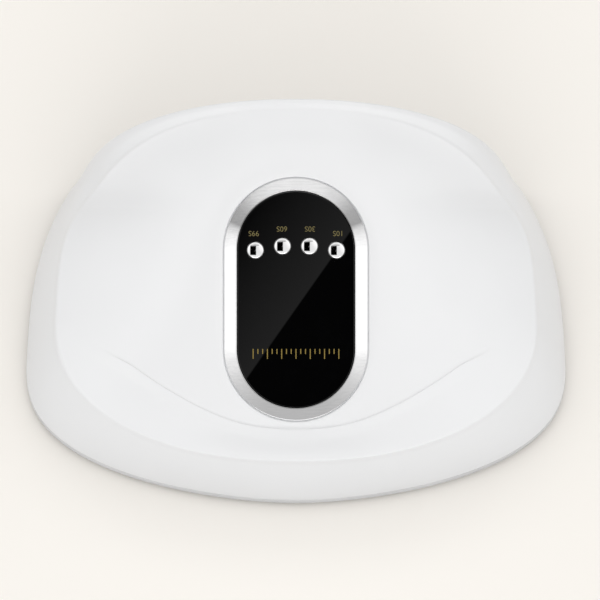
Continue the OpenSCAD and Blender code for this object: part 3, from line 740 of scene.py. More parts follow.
def rounded_two(a: float, b: float, px: float, py: float, u: float) -> np.ndarray:
    """Gives a point of an outline that has a power of its own for each half size.

    Args:
        a: half of its width.
        b: half of its depth.
        px: the power across.
        py: the power along.
        u: the point's angle in degrees.

    Returns:
        The point.
    """
    c, s = direction(u)
    r = 1.0
    for _ in range(8):
        across, along = (r * abs(c)) ** px, (r * abs(s)) ** py
        r -= r * (across + along - 1.0) / (px * across + py * along)
    return np.array([a * r * c, b * r * s])


@dataclass
class Panel:
    """The tilted plane of the control panel, in millimetres.

    Attributes:
        tilt: its slope to the rear, in degrees.
        height: height of its middle.
        back: distance of its middle from the hood's rear.
        depth: the hood's depth.
        bezel: the bezel's width and length.
        ring: width of the bezel's ring.
        seat: how far the bezel overlaps the hood.
        fit: the gap between fitted pieces.
        lens_rise: height of the lens above the plane.
        lens_thick: the lens's thickness.
    """

    tilt: float = 25.0
    height: float = 64.0
    back: float = 73.2
    depth: float = 160.0
    bezel: Pair = (64.0, 108.0)
    ring: float = 6.0
    seat: float = 2.0
    fit: float = 0.15
    lens_rise: float = 0.5
    lens_thick: float = 2.4

    @property
    def half(self) -> float:
        """Half of the bezel's width."""
        return self.bezel[0] / 2.0

    @property
    def straight(self) -> float:
        """Half of the straight sides' length."""
        return (self.bezel[1] - self.bezel[0]) / 2.0

    @property
    def lens_low(self) -> float:
        """Height of the lens's lower face."""
        return self.lens_rise - self.lens_thick

    def at(self, x: float, down: float, up: float) -> np.ndarray:
        """Gives a point in the panel's frame.

        Args:
            x: its place across.
            down: its place down the slope.
            up: its height above the plane.

        Returns:
            The point in the object's frame.
        """
        c, s = direction(self.tilt)
        y = self.depth / 2.0 - self.back
        return np.array([x, y + down * c + up * s, self.height - down * s + up * c])

    def way(self, x: float, down: float, up: float) -> np.ndarray:
        """Gives a direction in the panel's frame."""
        return self.at(x, down, up) - self.at(0.0, 0.0, 0.0)

    def matrix(self, x: float, down: float, up: float) -> Matrix:
        """Gives the place of a part that stands on the panel, as a matrix in metres."""
        place = Matrix.Translation(Vector(self.at(x, down, up) * MM))
        return place @ Matrix.Rotation(math.radians(-self.tilt), 4, "X")

    def stadium(self, half: float, arc: int, run: int) -> List[Pair]:
        """Gives the points of a stadium round the panel's middle.

        Args:
            half: half of the stadium's width.
            arc: points on each round end.
            run: points on each straight side.

        Returns:
            The points, across and down the slope.
        """
        straight = self.straight
        out = []
        for side in (1, -1):
            for i in range(arc):
                a = math.pi * i / arc
                out.append((side * half * math.cos(a), side * (straight + half * math.sin(a))))
            for i in range(run):
                out.append((-side * half, side * (straight - 2.0 * straight * i / run)))
        return out

    def ray(self, half: float, u: float) -> Pair:
        """Gives the point of a stadium that an outline's rib meets.

        Args:
            half: half of the stadium's width.
            u: the rib's angle in degrees.

        Returns:
            The point, across and down the slope.
        """
        straight = self.straight
        c, s = direction(u)
        way = unit(np.array([half * c, (half + straight) * s]))
        if abs(way[0]) > TINY and abs(way[1] / way[0]) * half <= straight:
            return half * math.copysign(1.0, way[0]), half * way[1] / abs(way[0])
        centre = np.array([0.0, math.copysign(straight, way[1])])
        along = float(way @ centre)
        reach = along + math.sqrt(along * along - straight * straight + half * half)
        return float(way[0] * reach), float(way[1] * reach)


@dataclass
class HoodSkin:
    """The moulded hood: a skin of ribs that fan out from the panel, with its shoulder line and fold.

    A rib's lean goes from -90 degrees at the front to 90 at the rear. Sizes are in millimetres.

    Attributes:
        panel: the plane that the ribs start from.
        width: the hood's width.
        depth: its depth.
        crown: height of the front arch.
        wall: thickness of the skin.
        arch: width of the front arch.
        flare: how far the arch's feet turn out.
        flare_pow: power of that turn.
        arch_pow: power of the arch's curve.
        side_pow: power with which the sides draw in to the front.
        rear_pow: powers of the rear outline, across and along.
        wide_back: distance of the widest place from the rear.
        edge_z: height of the free edge.
        shoulder_in: how far the shoulder line lies in from the sides, the rear and the front.
        shoulder_pow: powers of its outline, behind its middle and ahead of it.
        shoulder_fore: how far its middle lies ahead of the widest place.
        shoulder_z: its height.
        shoulder_dip: how far it drops at the rear.
        shoulder_over: how far it stays above the arch, and the width of the change.
        shoulder_step: the step below it, at the walls and at the front lip.
        field_rim: the flat border round the bezel.
        field_pow: power of the border's outline.
        swell: the top's least swell, its share of the fall, and the width of the change.
        top_pull: share of the top at which its curve is held.
        wall_gap: share of the wall that the step below the shoulder takes.
        bulge: how far the walls swell.
        lip_roll: how far the front lip rolls out at the crown.
        lip_pull: shares at which the lip's curve is held, along each axis.
        lip_fade: leans between which the walls become the lip.
        bead_h: height of the lip's bead.
        bead_span: shares of the lip at which the bead is full and at which it falls.
        valley_depth: depth of the valley behind the bead.
        valley_from: share of the top at which the valley begins.
        fold_h: height of the gull-wing fold.
        fold_width: its width.
        fold_at: its share of the top at the rear, what the sides add, and the power of the change.
        fold_tip: what its tips add, the lean at which they begin, and the width of the change.
        fold_sides: widths of its rise and its fall, as multiples of its own.
        fold_fade: the lean at which it begins, and the width over which it grows.
        fold_room: room before and behind it that has close points, as multiples of its width.
        fold_end: the last share of the top that has close points.
        seat_edge: points of the opening's edge, out from the opening and up.
        groove: points of the groove round the bezel, out from the bezel and up.
        top_parts: parts of a rib before, on and behind the fold.
        top_end: share of the top at which the shoulder's corner begins.
        wall_from: share of the wall at which that corner ends.
        wall_run: share of the wall that follows, down to the edge's corner.
        wall_parts: parts of that run.
        inner_end: share of the inner wall above the edge's corner.
        inner_parts: parts of a rib on the inner wall and on the inner top.
        corner_parts: parts of the shoulder's two corners, the edge's outer and its inner corner.
        edge_share: share of the wall's thickness that each of the edge's corners takes.
        foot_turn: lean of the arch's feet.
        ribs: the number of ribs.
        bosses: leans of the screw bosses.
        boss_d: a boss's diameter.
        boss_in: how far its middle lies in from the outer face.
        boss_z: height of its foot.
        boss_hole: radius and depth of its hole.
        boss_edge: the bevel at its foot.
        boss_up: share of the inner wall at which it ends.
        boss_bite: how far it bites into the wall.
        boss_points: points in its rings.
        sharp: angle from which an edge stays sharp, in degrees.
    """

    panel: Panel
    width: float = 250.0
    depth: float = 160.0
    crown: float = 89.5
    wall: float = 2.4
    arch: float = 199.0
    flare: float = 7.5
    flare_pow: float = 6.0
    arch_pow: float = 2.13
    side_pow: float = 2.8
    rear_pow: Pair = (1.75, 2.68)
    wide_back: float = 70.0
    edge_z: float = 6.0
    shoulder_in: Triple = (16.5, 6.0, 6.5)
    shoulder_pow: Pair = (2.25, 3.6)
    shoulder_fore: float = 3.0
    shoulder_z: float = 43.0
    shoulder_dip: float = 5.0
    shoulder_over: Pair = (2.0, 12.0)
    shoulder_step: Pair = (0.1, 0.8)
    field_rim: float = 1.0
    field_pow: float = 3.0
    swell: Triple = (0.5, 0.56, 2.0)
    top_pull: float = 0.35
    wall_gap: float = 0.08
    bulge: float = 2.0
    lip_roll: float = 2.6
    lip_pull: Triple = (0.4, 0.75, 0.2)
    lip_fade: Pair = (25.75, 45.75)
    bead_h: float = 1.0
    bead_span: Pair = (0.28, 0.45)
    valley_depth: float = 1.0
    valley_from: float = 0.5
    fold_h: float = 0.6
    fold_width: float = 2.5
    fold_at: Triple = (0.18, 0.575, 3.6)
    fold_tip: Triple = (0.07, 26.0, 13.0)
    fold_sides: Pair = (0.45, 3.4)
    fold_fade: Pair = (13.0, 12.0)
    fold_room: Pair = (0.55, 3.5)
    fold_end: float = 0.93
    seat_edge: Pairs = ((0.0, -0.3), (0.3, 0.0), (1.7, 0.0))
    groove: Pairs = (
        (-0.22, -0.05), (-0.16, -1.0), (0.2, -1.0), (0.32, -0.5), (0.44, -0.2), (0.65, -0.06), (0.9, 0.0))
    top_parts: Tuple[int, int, int] = (12, 16, 14)
    top_end: float = 0.986
    wall_from: float = 0.04
    wall_run: float = 0.935
    wall_parts: int = 22
    inner_end: float = 0.975
    inner_parts: int = 12
    corner_parts: Tuple[int, int, int] = (5, 4, 3)
    edge_share: float = 0.3
    foot_turn: float = 33.75
    ribs: int = 480
    bosses: Triple = (-31.0, 10.0, 80.0)
    boss_d: float = 8.0
    boss_in: float = 8.5
    boss_z: float = 11.5
    boss_hole: Pair = (1.25, 13.0)
    boss_edge: float = 0.3
    boss_up: float = 0.15
    boss_bite: float = 1.2
    boss_points: int = 32
    sharp: float = 40.0

    @property
    def wide_y(self) -> float:
        """Y of the widest place."""
        return self.depth / 2.0 - self.wide_back

    @property
    def hole(self) -> float:
        """Half of the panel opening's width."""
        return self.panel.half - self.panel.seat

    def edge(self, u: float, inset: float) -> np.ndarray:
        """Gives a point of the hood's free edge.

        Args:
            u: the rib's lean in degrees, from -90 at the front to 90 at the rear.
            inset: how far inside the outer face the point lies.

        Returns:
            The point.
        """
        rear, front = self.depth / 2.0, -self.depth / 2.0
        if u >= 0:
            q = rounded_two(self.width / 2.0 - inset, rear - inset - self.wide_y, *self.rear_pow, u)
            return np.array([q[0], self.wide_y + q[1], self.edge_z])
        if u >= -self.foot_turn:
            f = -u / self.foot_turn
            draw = ((self.width - self.arch) / 2.0 - self.flare) * f ** self.side_pow
            y = self.wide_y + (front - self.wide_y) * f
            return np.array([self.width / 2.0 - inset - draw, y, self.edge_z])
        lean = 90.0 * (-u - self.foot_turn) / (90.0 - self.foot_turn)
        q = rounded(self.arch / 2.0 - inset, 1.0, self.arch_pow, lean)
        x = q[0] + self.flare * max(0.0, 1.0 - q[1]) ** self.flare_pow
        return np.array([x, front, self.edge_z + (self.crown - inset - self.edge_z) * q[1]])

    def shoulder(self, u: float, inset: float) -> np.ndarray:
        """Gives a point of the shoulder line, where the top turns into the walls.

        Args:
            u: the rib's lean.
            inset: how far inside the outer face the point lies.

        Returns:
            The point.
        """
        side, back_in, front_in = self.shoulder_in
        mid = self.wide_y - self.shoulder_fore
        half = self.width / 2.0 - side - inset
        if u >= 0:
            q = rounded(half, self.depth / 2.0 - back_in - inset - mid, self.shoulder_pow[0], u)
            high = self.edge_z
        else:
            ahead = mid + self.depth / 2.0 - front_in
            q = rounded(half, ahead, self.shoulder_pow[1], u)
            x = rounded(half + inset, ahead, self.shoulder_pow[1], u)[0]
            open_arch = max(0.0, 1.0 - (2.0 * x / self.arch) ** self.arch_pow)
            high = self.edge_z + (self.crown - self.edge_z) * open_arch ** (1.0 / self.arch_pow)
        low = self.shoulder_z - self.shoulder_dip * max(0.0, direction(u)[1]) ** 2
        over, change = self.shoulder_over
        return np.array([q[0], mid + q[1], soft_max(low, high + over, change) - inset])

    def top_curve(self, u: float, inset: float) -> List[np.ndarray]:
        """Gives the curve of a rib over the top, from the flat field to the shoulder.

        Args:
            u: the rib's lean.
            inset: how far inside the outer face the curve lies.

        Returns:
            The curve's four points.
        """
        rim = rounded(*[size / 2.0 + self.field_rim for size in self.panel.bezel], self.field_pow, u)
        p = self.panel.at(rim[0], rim[1], -inset)
        q = self.shoulder(u, inset)
        n = self.panel.way(0, 0, 1)
        v = q - p
        flat = v - n * float(v @ n)
        least, share, change = self.swell
        crown = soft_max(least, -v[2] * share, change)
        held = np.array([q[0] - v[0] * self.top_pull, q[1] - v[1] * self.top_pull, q[2] + crown])
        return [p, p + flat * self.top_pull, held, q]

    def wall_curve(self, u: float, inset: float) -> List[np.ndarray]:
        """Gives the curve of a rib down the wall or the front lip, to the free edge.

        Args:
            u: the rib's lean.
            inset: how far inside the outer face the curve lies.

        Returns:
            The curve's four points.
        """
        top = self.shoulder(u, inset)
        q = self.edge(u, inset)
        front = self.lip_share(u)
        step = self.shoulder_step[0] + (self.shoulder_step[1] - self.shoulder_step[0]) * front
        p = top + (q - top) * self.wall_gap - np.array([0.0, 0.0, step])
        v = q - p
        bulge = unit(np.array([q[0], q[1] - self.wide_y if u >= 0 else 0.0, 0.0])) * self.bulge
        up = q[2] - self.edge_z
        roll = unit(np.array([q[0], 0.0, up])) * self.lip_roll * up / (self.crown - self.edge_z)
        p1 = (p + v / 3.0 + bulge) * (1 - front) + (p + v * np.array(self.lip_pull)) * front
        p2 = (q - v / 3.0 + bulge) * (1 - front) + (q + roll) * front
        return [p, p1, p2, q]

    def lip_share(self, u: float) -> float:
        """Gives how far a rib belongs to the front lip."""
        return soft_step((-u - self.lip_fade[0]) / (self.lip_fade[1] - self.lip_fade[0]))

    def valley(self, u: float, s: float) -> float:
        """Gives the depth of the valley between the top and the front lip's bead."""
        share = soft_step((s - self.valley_from) / (1.0 - self.valley_from))
        return self.valley_depth * self.lip_share(u) * share

    def lip_point(self, wall: Sequence[np.ndarray], u: float, s: float) -> np.ndarray:
        """Gives a point down the wall, raised by the front lip's bead.

        Args:
            wall: the wall's curve.
            u: the rib's lean.
            s: the share of the way down.

        Returns:
            The point.
        """
        near, far = self.bead_span
        rise = soft_step(s / near) * (1.0 - soft_step((s - far) / (1.0 - far)))
        return bezier(wall, s) + np.array([0.0, 0.0, self.bead_h * self.lip_share(u) * rise])

    def fold_place(self, u: float) -> float:
        """Gives the share of the top at which the gull-wing fold crosses a rib.

        Args:
            u: the rib's lean.

        Returns:
            The share.
        """
        share, more, power = self.fold_at
        tip, begin, change = self.fold_tip
        return share + more * direction(max(u, 0.0))[0] ** power + tip * soft_step((begin - u) / change)

    def fold(self, u: float, s: float, at: float, share: float) -> float:
        """Gives the height of the gull-wing fold at a place on a rib.

        Args:
            u: the rib's lean.
            s: the share of the way over the top.
            at: the share at which the fold lies.
            share: the fold's width as a share of the rib.

        Returns:
            The height, in millimetres.
        """
        rise, fall = self.fold_sides
        begin, grow = self.fold_fade
        d = (s - at) / share
        level = soft_step((d + rise) / rise) if d <= 0 else 1.0 - soft_step(d / fall)
        return level * self.fold_h * soft_step((u - begin) / grow)

    def outer(self, u: float) -> List[np.ndarray]:
        """Models a rib over the outside, from the panel's opening to the free edge.

        Args:
            u: the rib's lean.

        Returns:
            The rib's points.
        """
        start = [(self.hole + more, up) for more, up in self.seat_edge]
        start += [(self.panel.half + more, up) for more, up in self.groove]
        out = [self.panel.at(*self.panel.ray(half, u), up) for half, up in start]
        top, wall = self.top_curve(u, 0.0), self.wall_curve(u, 0.0)
        at = self.fold_place(u)
        share = self.fold_width / float(np.linalg.norm(top[3] - top[0]))
        near = at - self.fold_room[0] * share
        far = min(at + self.fold_room[1] * share, self.fold_end)
        first, close, rest = self.top_parts
        stops = [near * i / first for i in range(1, first)]
        stops += [near + (far - near) * i / close for i in range(close)]
        stops += [far + (self.top_end - far) * i / rest for i in range(rest + 1)]
        for s in stops:
            lift = self.fold(u, s, at, share) - self.valley(u, s)
            out.append(bezier(top, s) + np.array([0.0, 0.0, lift]))
        brink = top[3] - np.array([0.0, 0.0, self.valley(u, 1.0)])
        half_way = (brink + wall[0]) / 2.0
        out += corner(out[-1], brink, half_way, self.corner_parts[0])
        out += corner(half_way, wall[0], self.lip_point(wall, u, self.wall_from), self.corner_parts[0])
        for i in range(1, self.wall_parts + 1):
            out.append(self.lip_point(wall, u, self.wall_from + self.wall_run * i / self.wall_parts))
        inner = self.edge(u, self.wall)
        out += corner(out[-1], wall[3], wall[3] + (inner - wall[3]) * self.edge_share, self.corner_parts[1])
        return out

    def inner(self, u: float) -> List[np.ndarray]:
        """Models a rib over the inside, back from the free edge to the opening.

        Args:
            u: the rib's lean.

        Returns:
            The rib's points.
        """
        top, wall = self.top_curve(u, self.wall), self.wall_curve(u, self.wall)
        end, parts = self.inner_end, self.inner_parts
        edge = wall[3] + (self.edge(u, 0.0) - wall[3]) * self.edge_share
        out = [edge] + corner(edge, wall[3], bezier(wall, end), self.corner_parts[2])
        out += [bezier(wall, end * (1 - i / parts)) for i in range(1, parts + 1)]
        out += [bezier(top, 1 - i / parts) for i in range(0, parts + 1)]
        out.append(self.panel.at(*self.panel.ray(self.hole, u), -self.wall))
        return out

    def boss_places(self) -> List[np.ndarray]:
        """Finds the screw bosses' places, inside the wall that they bite into.

        Returns:
            The middle of each boss, with the height of its top.
        """
        out = []
        for u in self.bosses:
            p = bezier(self.wall_curve(u, self.wall), self.boss_up)
            middle = np.array([0.0, self.wide_y])
            top, foot = p[:2] - middle, self.edge(u, self.boss_in)[:2] - middle
            within = float(np.linalg.norm(top)) - self.boss_d / 2.0 + self.boss_bite
            at = middle + unit(top) * min(within, float(np.linalg.norm(foot)))
            out += [np.array([side * at[0], at[1], p[2]]) for side in (-1, 1)]
        return out

    def build(self) -> Piece:
        """Models the hood's skin and its screw bosses.

        Returns:
            The finished piece.
        """
        columns = []
        for k in range(self.ribs):
            c, s = direction(360.0 * k / self.ribs)
            u = math.degrees(math.asin(max(-1.0, min(1.0, s))))
            rib = np.array(self.outer(u) + self.inner(u))
            if abs(c) < TINY:
                rib[:, 0] = 0.0
            rib[:, 0] *= -1.0 if c < -TINY else 1.0
            columns.append(rib)
        points = np.array(columns) * MM
        made = [Bench.loft("hood_skin", [points[:, i, :] for i in range(points.shape[1])], capped=False)]
        r, (hole, deep), bevel = self.boss_d / 2.0, self.boss_hole, self.boss_edge
        for i, (x, y, top) in enumerate(self.boss_places()):
            profile = [(hole, deep), (hole, bevel), (hole + bevel, 0.0), (r - bevel, 0.0), (r, bevel)]
            boss = Bench.lathe(f"boss_{i}", profile + [(r, top - self.boss_z)], self.boss_points)
            made.append(Bench.shift(boss, x, y, self.boss_z))
        piece = Bench.join(made, "hood_skin")
        Bench.smooth(piece, self.sharp)
        return piece

    def dress(self, piece: Piece) -> None:
        """Gives the hood its gloss white and lets it ride."""
        Bench.dress(piece, HOOD_WHITE)
        Bench.mount(piece, "hood", "hood_white", ["hood_shell"])


@dataclass
class ControlPanel:
    """The bezel, the dark lens, the printed rows and the four keys, in millimetres.

    Attributes:
        panel: the plane that carries them.
        keys: the keys' seconds.
        key_d: a key's diameter.
        pitch: distance between the keys.
        up: how far above the middle the two inner keys lie.
        bow: how far the row of keys bows.
        rise: height of a key above the lens.
        dome: height of its domed cap.
        rim: width of the rim round the cap.
        skirt_h: height of the cap with its rounded rim.
        stem: points of its stem, radius and height from the flange's foot.
        flange: gap above its flange, and the flange's thickness and overhang.
        rim_turns: angles of the rim's rings, in degrees.
        cap_shares: the cap's rings, as shares of its radius.
        key_points: points in its rings.
        key_gap: gap round a key.
        hole_low: how far a hole's cutter reaches below the lens.
        hole_edge: points of a hole's bevel, out from the hole and up from the lens.
        hole_points: points in its rings.
        lens_foot: bevel of the lens's lower edge.
        lens_edge: points of its upper edge, in from the outline and down from the top.
        lens_points: points on each of its round ends and straight sides.
        lens_sharp: angle from which its edges stay sharp, in degrees.
        bezel_h: height of the bezel.
        bezel_in: how far its foot lies in from its nominal width.
        bezel_slope: points of its outer slope, in from the foot and up.
        bezel_crest: points of its crest, out from the inner wall and down from the top.
        bezel_points: points on each of its round ends and straight sides.
        print_h: height of a numeral.
        print_em: size of its letters, as a multiple of the height.
        print_t: half of the print's thickness.
        print_parts: parts of each curve of a letter.
        print_up: how far the numerals lie above the keys.
        print_end: how far the two outer ones lie lower than that.
        print_out: how much wider their row is than the keys'.
        scale_down: the tick scale's place, down the slope.
        scale_span: its width.
        ticks: the number of its ticks.
        tick_w: a tick's width.
        tick_h: heights of a short tick and of every third one.
        tick_t: a tick's thickness.
    """

    panel: Panel
    keys: Tuple[str, str, str, str] = ("10s", "30s", "60s", "99s")
    key_d: float = 7.2
    pitch: float = 12.0
    up: float = 23.6
    bow: float = 1.8
    rise: float = 1.1
    dome: float = 0.37
    rim: float = 0.35
    skirt_h: float = 0.85
    stem: Pairs = ((1.3, -1.9), (1.5, -1.7), (1.5, 0.0))
    flange: Triple = (0.2, 1.0, 0.9)
    rim_turns: Tuple[float, ...] = (0.0, 20.0, 40.0, 55.0, 68.0)
    cap_shares: Tuple[float, ...] = (0.99, 0.95, 0.88, 0.79, 0.7, 0.6, 0.5, 0.4, 0.3, 0.2, 0.1, 0.03)
    key_points: int = 72
    key_gap: float = 0.2
    hole_low: float = 1.0
    hole_edge: Pairs = ((0.0, -0.15), (0.15, 0.0), (0.4, 0.25))
    hole_points: int = 64
    lens_foot: float = 0.2
    lens_edge: Pairs = ((0.0, 0.3), (0.1, 0.1), (0.35, 0.0))
    lens_points: Tuple[int, int] = (72, 12)
    lens_sharp: float = 12.0
    bezel_h: float = 1.6
    bezel_in: float = 0.25
    bezel_slope: Pairs = (
        (0.05, 0.0), (0.0, 0.05), (0.0, 0.22), (0.07, 0.31),
        (0.22, 0.37), (0.5, 0.43), (1.8, 0.755), (3.2, 1.105))
    bezel_crest: Pairs = (
        (1.1, 0.17), (0.62, 0.05), (0.46, 0.01), (0.36, 0.0), (0.26, 0.03),
        (0.16, 0.12), (0.07, 0.3), (0.02, 0.55), (0.0, 0.85))
    bezel_points: Tuple[int, int] = (96, 24)
    print_h: float = 2.4
    print_em: float = 1.38
    print_t: float = 0.015
    print_parts: int = 6
    print_up: float = 7.7
    print_end: float = 0.2
    print_out: float = 1.04
    scale_down: float = 24.2
    scale_span: float = 38.0
    ticks: int = 19
    tick_w: float = 0.42
    tick_h: Pair = (2.2, 4.4)
    tick_t: float = 0.03

    def key_place(self, i: int) -> Pair:
        """Gives the middle of a key, across and down the slope."""
        k = i - (len(self.keys) - 1) / 2.0
        return k * self.pitch, -self.up + self.bow * (k * k - 0.25) / 2.0

    def bezel(self) -> None:
        """Models the bezel: a low outer edge, a sloped ring and a crest beside the lens."""
        half, low = self.panel.half, self.panel.lens_low
        inner = half - self.panel.ring + self.panel.fit
        outer = half - self.bezel_in
        skirt = half - self.panel.seat - self.panel.fit
        section = [(inner, low), (skirt, low), (skirt, 0.0)]
        section += [(outer - within, up) for within, up in self.bezel_slope]
        section += [(inner + out, self.bezel_h - drop) for out, drop in self.bezel_crest]
        rings = []
        for reach, up in section:
            points = self.panel.stadium(reach, *self.bezel_points)
            rings.append(np.array([self.panel.at(x, y, up) for x, y in points]) * MM)
        piece = Bench.loft("panel_bezel_ring", rings, capped=False)
        Bench.smooth(piece)
        # the bezel's finish holds a painted reflection on its round ends
        Bench.dress(piece, BEZEL_METAL_PAINTED_REFLECTION)
        Bench.mount(piece, "hood", "bezel_metal", ["panel_bezel"])

    def lens(self) -> None:
        """Models the dark lens, with a bevelled rim and a bevelled hole for each key."""
        half = self.panel.half - self.panel.ring
        top, low = self.panel.lens_rise, self.panel.lens_low
        section = [(self.lens_foot, low), (0.0, low + self.lens_foot)]
        section += [(within, top - drop) for within, drop in self.lens_edge]
        rings = []
        for within, up in section:
            points = self.panel.stadium(half - within, *self.lens_points)
            rings.append(np.array([(x, y, up) for x, y in points]) * MM)
        piece = Bench.loft("panel_window", rings, capped=True)
        r = self.key_d / 2.0 + self.key_gap
        profile = [(r, low - self.hole_low)] + [(r + out, top + up) for out, up in self.hole_edge]
        for i in range(len(self.keys)):
            hole = Bench.lathe("key_hole", profile, self.hole_points)
            Bench.boolean(piece, Bench.shift(hole, *self.key_place(i), 0.0))
        piece.data.transform(self.panel.matrix(0.0, 0.0, 0.0))
        Bench.smooth(piece, self.lens_sharp)
        Bench.dress(piece, LENS_BLACK)
        Bench.mount(piece, "hood", "lens_black", ["panel_lens"])

    def key_profile(self) -> List[Pair]:
        """Draws a key from the stem up to the domed cap.

        Returns:
            The radius and height of its rings.
        """
        gap, thick, over = self.flange
        flange_top = self.panel.lens_low - gap
        flange_low = flange_top - thick
        top, r = self.panel.lens_rise + self.rise, self.key_d / 2.0
        cap = r - self.rim
        ball = (cap * cap + self.dome * self.dome) / (2.0 * self.dome)
        out = [(stem, flange_low + up) for stem, up in self.stem]
        out += [(r + over, flange_low), (r + over, flange_top), (r, flange_top)]
        for turn in self.rim_turns:
            c, s = direction(turn)
            out.append((cap + self.rim * c, top - self.skirt_h + (self.skirt_h - self.dome) * s))
        for share in self.cap_shares:
            x = cap * share
            out.append((x, top - ball + math.sqrt(ball * ball - x * x)))
        return out

    def keys_and_print(self) -> None:
        """Models one key and copies it to the four places, with its printed seconds beside it."""
        pattern = Bench.lathe("key_pattern", self.key_profile(), self.key_points)
        Bench.smooth(pattern)
        Bench.dress(pattern, CHROME)
        for i, seconds in enumerate(self.keys):
            x, y = self.key_place(i)
            key = Bench.copy(pattern, f"key_{seconds}_cap", self.panel.matrix(x, y, 0.0))
            Bench.mount(key, f"key_{seconds}", "button_chrome", [f"button_{seconds}"])
            row = y - self.print_up + (self.print_end if abs(x) > self.pitch else 0.0)
            self.numeral(seconds, x * self.print_out, row)
        Bench.drop(pattern)

    def numeral(self, seconds: str, x: float, down: float) -> None:
        """Prints a key's seconds on the lens, to be read from the front.

        Args:
            seconds: the words of the print.
            x: the middle of the print, across.
            down: its middle, down the slope.
        """
        Bench.clear()
        bpy.ops.object.text_add()
        words = bpy.context.object
        words.data.body = seconds.upper()
        words.data.size = self.print_h * self.print_em * MM
        words.data.align_x = "CENTER"
        words.data.align_y = "CENTER"
        words.data.extrude = self.print_t * MM
        words.data.resolution_u = self.print_parts
        bpy.ops.object.convert(target="MESH")
        piece = Bench.label(bpy.context.object, f"print_{seconds}")
        piece.data.transform(self.panel.matrix(x, down, self.panel.lens_rise + self.print_t))
        Bench.dress(piece, PRINT_DIM)
        Bench.mount(piece, "hood", "bezel_metal")

    def tick_scale(self) -> None:
        """Prints a plain tick scale across the lens, longer at every third tick."""
        made = []
        short, tall = self.tick_h
        for i in range(self.ticks):
            height = short if i % 3 else tall
            Bench.clear()
            bpy.ops.mesh.primitive_plane_add(size=1.0)
            tick = bpy.context.object
            bpy.ops.object.mode_set(mode="EDIT")
            bpy.ops.mesh.select_all(action="SELECT")
            bpy.ops.transform.resize(value=(self.tick_w * MM, height * MM, 1.0))
            bpy.ops.mesh.extrude_region_move(TRANSFORM_OT_translate={"value": (0.0, 0.0, self.tick_t * MM)})
            bpy.ops.mesh.select_all(action="SELECT")
            bpy.ops.mesh.normals_make_consistent(inside=False)
            bpy.ops.object.mode_set(mode="OBJECT")
            x = (i / (self.ticks - 1) - 0.5) * self.scale_span
            made.append(Bench.shift(tick, x, (height - tall) / 2.0, 0.0))
        piece = Bench.join(made, "print_scale")
        piece.data.transform(self.panel.matrix(0.0, self.scale_down, self.panel.lens_rise))
        Bench.dress(piece, PRINT_GOLD)
        Bench.mount(piece, "hood", "bezel_metal")

    def build(self) -> None:
        """Models and dresses the whole panel."""
        self.bezel()
        self.lens()
        self.keys_and_print()
        self.tick_scale()


